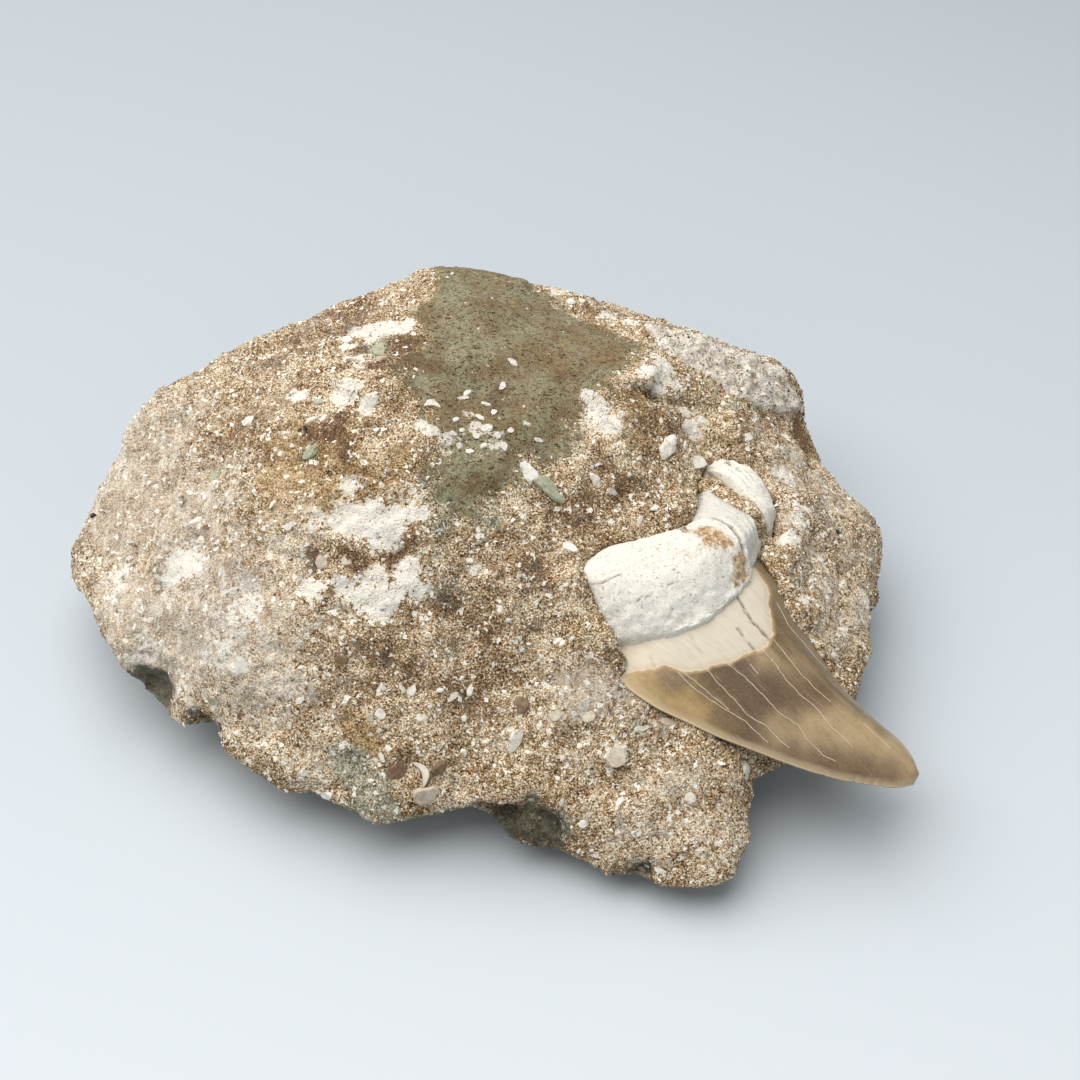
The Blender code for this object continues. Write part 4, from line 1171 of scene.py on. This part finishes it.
def chance(low, high, seed, kind="FLOAT_VECTOR"):
    node = strewn.tree.nodes.new("FunctionNodeRandomValue")
    node.data_type = kind
    first = {"FLOAT_VECTOR": 0, "FLOAT": 2, "INT": 4}[kind]
    strewn.feed(node.inputs[first], low)
    strewn.feed(node.inputs[first + 1], high)
    strewn.feed(node.inputs["Seed"], seed)
    return Wire(strewn, node.outputs[{"FLOAT_VECTOR": 0, "FLOAT": 1, "INT": 2}[kind]])


seed = strewn.given("Seed")
dice = chance(0.0, 1.0, seed, "FLOAT")
size = strewn.given("Least") + (strewn.given("Greatest") - strewn.given("Least")) * dice ** 2.2
upright = Wire(strewn, spots.outputs["Rotation"])
tips = chance((-0.5, -0.5, 0.0), (0.5, 0.5, 6.28), seed + 1)
tipped = strewn.node("FunctionNodeEulerToRotation", None, tips)
spun = strewn.node("FunctionNodeRotateRotation", {"rotation_space": "LOCAL"}, upright, tipped)
proportions = chance((0.75, 0.6, 0.8), (1.35, 1.0, 1.2), seed + 2)
flatten = strewn.node("ShaderNodeCombineXYZ", None, 1.0, 1.0, strewn.given("Flatness"))
scale = strewn.node("ShaderNodeVectorMath", {"operation": "MULTIPLY"}, proportions, flatten)
scale = strewn.node("ShaderNodeVectorMath", {"operation": "SCALE"}, scale, Scale=size)
placed = strewn.node("GeometryNodeInstanceOnPoints", None, spread, Instance=shapes, Pick_Instance=True,
                     Instance_Index=chance(0, GRAIN_SHAPES - 1, seed + 3, "INT"), Rotation=spun, Scale=scale)
tone = strewn.node("GeometryNodeStoreNamedAttribute", {"data_type": "FLOAT", "domain": "INSTANCE"}, placed,
                   Name="tone", Value=chance(0.0, 1.0, seed + 4, "FLOAT"))
sink = strewn.node("ShaderNodeCombineXYZ", None, 0.0, 0.0, strewn.given("Sunk") * -1)
lowered = strewn.node("GeometryNodeTranslateInstances", None, tone, Translation=sink)
strewn.finish(lowered)

GRAIN_TONES = {  # where each kind lies between brown, at 0, and cream, at 1
    "tan_grains": (0.2, 1.0), "brown_grains": (-0.1, 0.55), "pale_grains": (0.5, 1.3),
    "shell_flecks": (1.2, 1.6),
}
corners, tilt = corners_of(lump.data)
chalkiness = patches(corners, PATCHES["chalky"], ground)
# Fewer grains where the recesses are painted dark with clay and shade.
clay_and_shade_patches = patches(corners, PATCHES["slate"], ground)
loose = (1 - 0.88 * clayey) * (1 - clay_and_shade_patches) * (1 - 0.5 * chalkiness)
loose *= 1 - 0.5 * smooth_step(-tilt[:, 2], -0.1, 0.5)
loose *= smooth_step(corners[:, 2], 0.6, 1.0)
store(lump.data, "loose", loose)
for name, (number, least, greatest, flatness, sunk, seed_number) in GRAINS.items():
    grains = mesh_object(name, lump.data.copy())
    finish = Finish(name.replace("_", " "), left_out=2, Roughness=0.8)
    darkest, palest = GRAIN_TONES[name]
    tint, _ = sand_colours(finish, finish.stored("tone") * (palest - darkest) + darkest)
    if name == "shell_flecks":
        tint = finish.mix(finish.noise(0.8, 2) * 0.4 + 0.45, tint, (0.95, 0.90, 0.80))
    finish.surface(Base_Color=tint)
    finish.bump(finish.noise(0.15, 2), 0.04)
    strewn.made_on(grains, Per_square_metre=number * 1e4, Least=least * MM, Greatest=greatest * MM,
                   Flatness=flatness, Sunk=sunk * least * MM, Seed=seed_number, Material=finish.material)
    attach(grains, "root")

# Bits of shell, bone and pebbles that the sand was laid down with stick out of it, each by its pixel
# in the picture, its length, its width and which way it points, in millimetres and degrees.
CLASTS = {
    "shell_bits": [
        (512, 362, 2.5, 1.5, -35), (669, 447, 4.4, 3, 75), (698, 464, 2.8, 2.2, 60),
        (703, 421, 2, 1.8, 20), (748, 438, 1.8, 1.6, 0), (528, 471, 5, 2.3, -58), (250, 421, 2.9, 2, 25),
        (206, 497, 2, 1.5, 70), (189, 493, 1.2, 1.1, 0), (196, 520, 2.9, 1.2, 30),
        (273, 504, 1.8, 1.1, 75), (289, 527, 2.9, 1.3, 5), (202, 541, 1.8, 1.6, 0),
        (431, 402, 1.6, 1.1, 0), (361, 368, 2.4, 1, -30), (239, 670, 4.4, 3, -25),
        (347, 700, 2.2, 1.6, 0), (380, 714, 1.8, 2.4, 90), (421, 718, 1.6, 1.2, -30),
        (515, 739, 3.9, 1.8, 65), (539, 725, 1.8, 1, 80), (486, 742, 1.4, 0.9, 0),
        (382, 758, 1.8, 1.1, -50), (619, 803, 3, 1.3, 70), (690, 799, 1.9, 1.6, 0),
        (746, 771, 2.6, 1.8, 75), (571, 302, 1.9, 1.5, -40), (582, 301, 1.2, 1, -30),
        (503, 386, 1.4, 1, 60), (527, 424, 1.5, 1, -20), (583, 824, 1.3, 1.2, 0),
        (640, 729, 2.2, 1.1, 10), (326, 795, 2.6, 1.4, 25), (305, 773, 1.8, 1, 0),
        (310, 420, 2.2, 1.3, 25), (325, 418, 1.6, 1.1, 30), (402, 688, 1.9, 0.9, -70),
        (412, 690, 2.3, 1.2, 60), (440, 690, 1.2, 0.8, 0), (452, 697, 1.9, 0.9, 40),
        (470, 690, 1.8, 1, 70), (384, 688, 1.8, 0.8, -60), (596, 480, 2.4, 1.7, -60),
        (612, 492, 1.8, 1.3, -40), (640, 520, 1.6, 1.1, 60), (655, 508, 1.7, 1.1, 40),
        (570, 548, 2.3, 1.6, -35), (468, 392, 2.6, 0.8, 60), (463, 398, 1.8, 0.7, 20),
        (538, 440, 1.5, 1, -20), (750, 514, 2.4, 1.1, -25), (738, 505, 1.1, 1, 0),
        (345, 340, 2.4, 1.5, -30), (372, 402, 1.7, 1.2, 20), (640, 458, 1.2, 0.9, 0),
        (866, 604, 2.1, 1.6, 80), (470, 560, 1.4, 1, 0), (560, 640, 1.5, 1.1, 10),
        (500, 610, 1.3, 0.9, 40), (236, 733, 1.3, 1, 0), (150, 620, 1.3, 1, 0), (300, 700, 1.4, 1, 30),
        (700, 850, 1.4, 1, 10), (660, 870, 1.6, 0.9, 10), (775, 475, 1.4, 1, 0), (820, 560, 1.4, 1.1, 0),
        (845, 630, 1.4, 1, 30), (833, 655, 1.2, 0.9, 0), (486, 404, 1.6, 1.1, 20),
        (494, 412, 1.3, 0.9, 60), (480, 418, 1.5, 1.2, -20), (488, 428, 1.9, 1.3, 10),
        (498, 436, 1.4, 1.1, 70), (476, 436, 1.3, 1, 0), (504, 446, 1.6, 1.2, -40),
        (484, 446, 1.2, 0.9, 30), (470, 452, 1.5, 1.1, 15), (460, 446, 1.3, 1, 50),
        (452, 434, 1.4, 1, -10), (510, 430, 1.1, 0.9, 0), (462, 430, 1, 0.8, 0),
        (456, 420, 1.2, 0.8, 40),
    ],
    "curved_shell": [(419, 775, 4.4, 1.4, -68), (432, 408, 3.0, 1.0, 0), (356, 362, 4.0, 1.2, -28)],
    "pale_pebbles": [
        (428, 796, 4, 3.6, 0), (555, 716, 2, 1.8, 0), (616, 756, 3.6, 3.2, 0), (323, 562, 2.8, 2.6, 0),
        (668, 722, 2.6, 1.4, -15), (589, 717, 2.2, 2, 60), (370, 718, 1.6, 1.4, 0),
        (346, 562, 2, 1.6, 0),
    ],
    "brown_pebbles": [
        (341, 660, 2.4, 1.9, 0), (297, 341, 1.8, 1.6, 0), (399, 772, 4.4, 3.6, 30),
        (518, 706, 3.6, 3, 0), (219, 490, 1.6, 1.1, 0), (242, 484, 1.4, 1.2, 0), (207, 527, 1.3, 0.9, 0),
        (440, 768, 3, 2.2, 20),
    ],
    "olive_pebbles": [
        (551, 488, 6, 3.9, -25), (215, 475, 3.4, 1.7, 65), (320, 401, 2.4, 1.6, 10),
        (310, 452, 3.4, 3, 0), (380, 350, 3, 3, 0), (213, 701, 2.2, 1.6, 0),
    ],
    "dark_specks": [
        (837, 532, 0.9, 0.8, 0), (300, 430, 1, 0.6, 20), (306, 428, 0.9, 0.7, 0), (94, 516, 0.8, 1.2, 90),
    ],
}
CLAST_LOOKS = {  # three tones, height for its width, share sunk, and how angular it is
    "shell_bits": ((0.56, 0.46, 0.34), (0.82, 0.76, 0.66), (0.93, 0.90, 0.84), 0.42, 0.42, 0.55),
    "curved_shell": ((0.60, 0.50, 0.40), (0.76, 0.68, 0.58), (0.86, 0.80, 0.72), 0.5, 0.25, 0.15),
    "pale_pebbles": ((0.44, 0.34, 0.24), (0.60, 0.51, 0.39), (0.76, 0.68, 0.56), 0.4, 0.62, 0.3),
    "brown_pebbles": ((0.12, 0.07, 0.035), (0.24, 0.15, 0.085), (0.33, 0.235, 0.15), 0.35, 0.66, 0.28),
    "olive_pebbles": ((0.25, 0.24, 0.155), (0.41, 0.415, 0.285), (0.50, 0.51, 0.375), 0.30, 0.62, 0.26),
    "dark_specks": ((0.01, 0.01, 0.01), (0.03, 0.03, 0.03), (0.08, 0.07, 0.06), 0.6, 0.3, 0.3),
}
for kind, rows in CLASTS.items():
    *tones, tall, sunk, angular = CLAST_LOOKS[kind]
    clasts = bmesh.new()
    for px, py, long, wide, heading in rows:
        place, normal = meet(ground, px, py)
        right_way = Vector((1, 0, 0)) - normal * normal.x
        right_way.normalize()
        right_way.rotate(Matrix.Rotation(math.radians(heading), 3, normal))
        frame_of = Matrix((right_way, normal.cross(right_way), normal)).transposed()
        fineness = (4 if long > 3 else 3) - (kind == "shell_bits")
        ball = bmesh.ops.create_icosphere(clasts, subdivisions=fineness, radius=1)
        for corner in ball["verts"]:
            key = corner.co * 0.8 + Vector((px, py, 0))
            bend = 1 + angular * noise.noise(key) * 1.6
            bend += angular * 0.5 * noise.noise(key * 2.7)
            bent = corner.co * bend
            bent = Vector((bent.x * long, bent.y * wide, bent.z * wide * tall * 2)) / 2
            if kind == "curved_shell":
                bent.y += wide * 0.9 * (1 - (2 * bent.x / long) ** 2)
            bent.z = min(bent.z, wide * tall * 0.45)
            corner.co = place + frame_of @ (bent + Vector((0, 0, wide * tall * (0.5 - sunk)))) * MM
    bmesh.ops.recalc_face_normals(clasts, faces=clasts.faces)
    mesh = bpy.data.meshes.new(kind)
    clasts.to_mesh(mesh)
    clasts.free()
    piece = mesh_object(kind, mesh)
    if kind != "shell_bits":
        piece.data.shade_smooth()
    finish = Finish(kind.replace("_", " "), Roughness=0.8)
    tint = finish.ramp(finish.noise(1.1, 4, 0.7), (0.3, tones[0]), (0.5, tones[1]), (0.7, tones[2]))
    finish.surface(Base_Color=finish.mix(finish.step(finish.noise(0.4, 2), 0.6, 0.7) * 0.4, tint, tones[0]))
    finish.bump(finish.noise(0.5, 4, 0.7), 0.12)
    piece.data.materials.append(finish.material)
    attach(piece, "root")

# The floor is a pale bluish studio sheet, painted paler towards the front and darker towards the back
# and far right: painted light falloff. The light comes through wide soft boxes: a large one above and
# behind to the left, and a weaker one in front. None of it is part of the specimen.
FLOOR_REACH = 3
floor = mesh_object("floor", bpy.data.meshes.new("floor"))
floor_corners = [(x * FLOOR_REACH, y * FLOOR_REACH, 0) for x, y in ((-1, -1), (1, -1), (1, 1), (-1, 1))]
floor.data.from_pydata(floor_corners, [], [(0, 1, 2, 3)])
sheet = Finish("floor sheet", Roughness=0.7, Specular_IOR_Level=0.2)
lying = sheet.node("ShaderNodeSeparateXYZ", None, sheet.at)
ahead_mm = Wire(sheet, lying.socket.node.outputs[1]) / MM
# Painted light falloff: paler near the camera, darker further back.
pale = sheet.ramp((ahead_mm + 110) / 330, (0.0, (0.66, 0.695, 0.725)), (0.45, (0.51, 0.55, 0.586)),
                  (1.0, (0.41, 0.443, 0.472)))
# Painted shade towards the far right corner.
far_right_shade = sheet.step(ahead_mm + lying / MM * 0.7, 150, 420)
sheet.surface(Base_Color=sheet.mix(far_right_shade * 0.25, pale, (0.25, 0.27, 0.29)))
floor.data.materials.append(sheet.material)

SKY_COLOUR = (0.86, 0.93, 1, 1)
SKY_STRENGTH = 0.33
SOFT_BOXES = [  # name, where, size, power and colour
    ("behind_left", (-0.34, 0.34, 1.08), 1.9, 25.0, (1.0, 0.985, 0.96)),
    ("in_front", (-0.3, -1.1, 0.8), 1.2, 0.7, (0.96, 0.98, 1.0)),
]
for name, place, side, power, tint in SOFT_BOXES:
    light = bpy.data.lights.new(name, "AREA")
    light.shape = "DISK"
    light.size = side
    light.energy = power
    light.color = tint
    lamp = bpy.data.objects.new(name, light)
    bpy.context.scene.collection.objects.link(lamp)
    lamp.location = place
    lamp.rotation_euler = (Vector((0, 0, 0.02)) - Vector(place)).to_track_quat("-Z", "Y").to_euler()
world = bpy.data.worlds.new("studio")
world.use_nodes = True
background = world.node_tree.nodes["Background"]
background.inputs["Color"].default_value = SKY_COLOUR
background.inputs["Strength"].default_value = SKY_STRENGTH
bpy.context.scene.world = world
bpy.context.scene.view_settings.view_transform = "Standard"
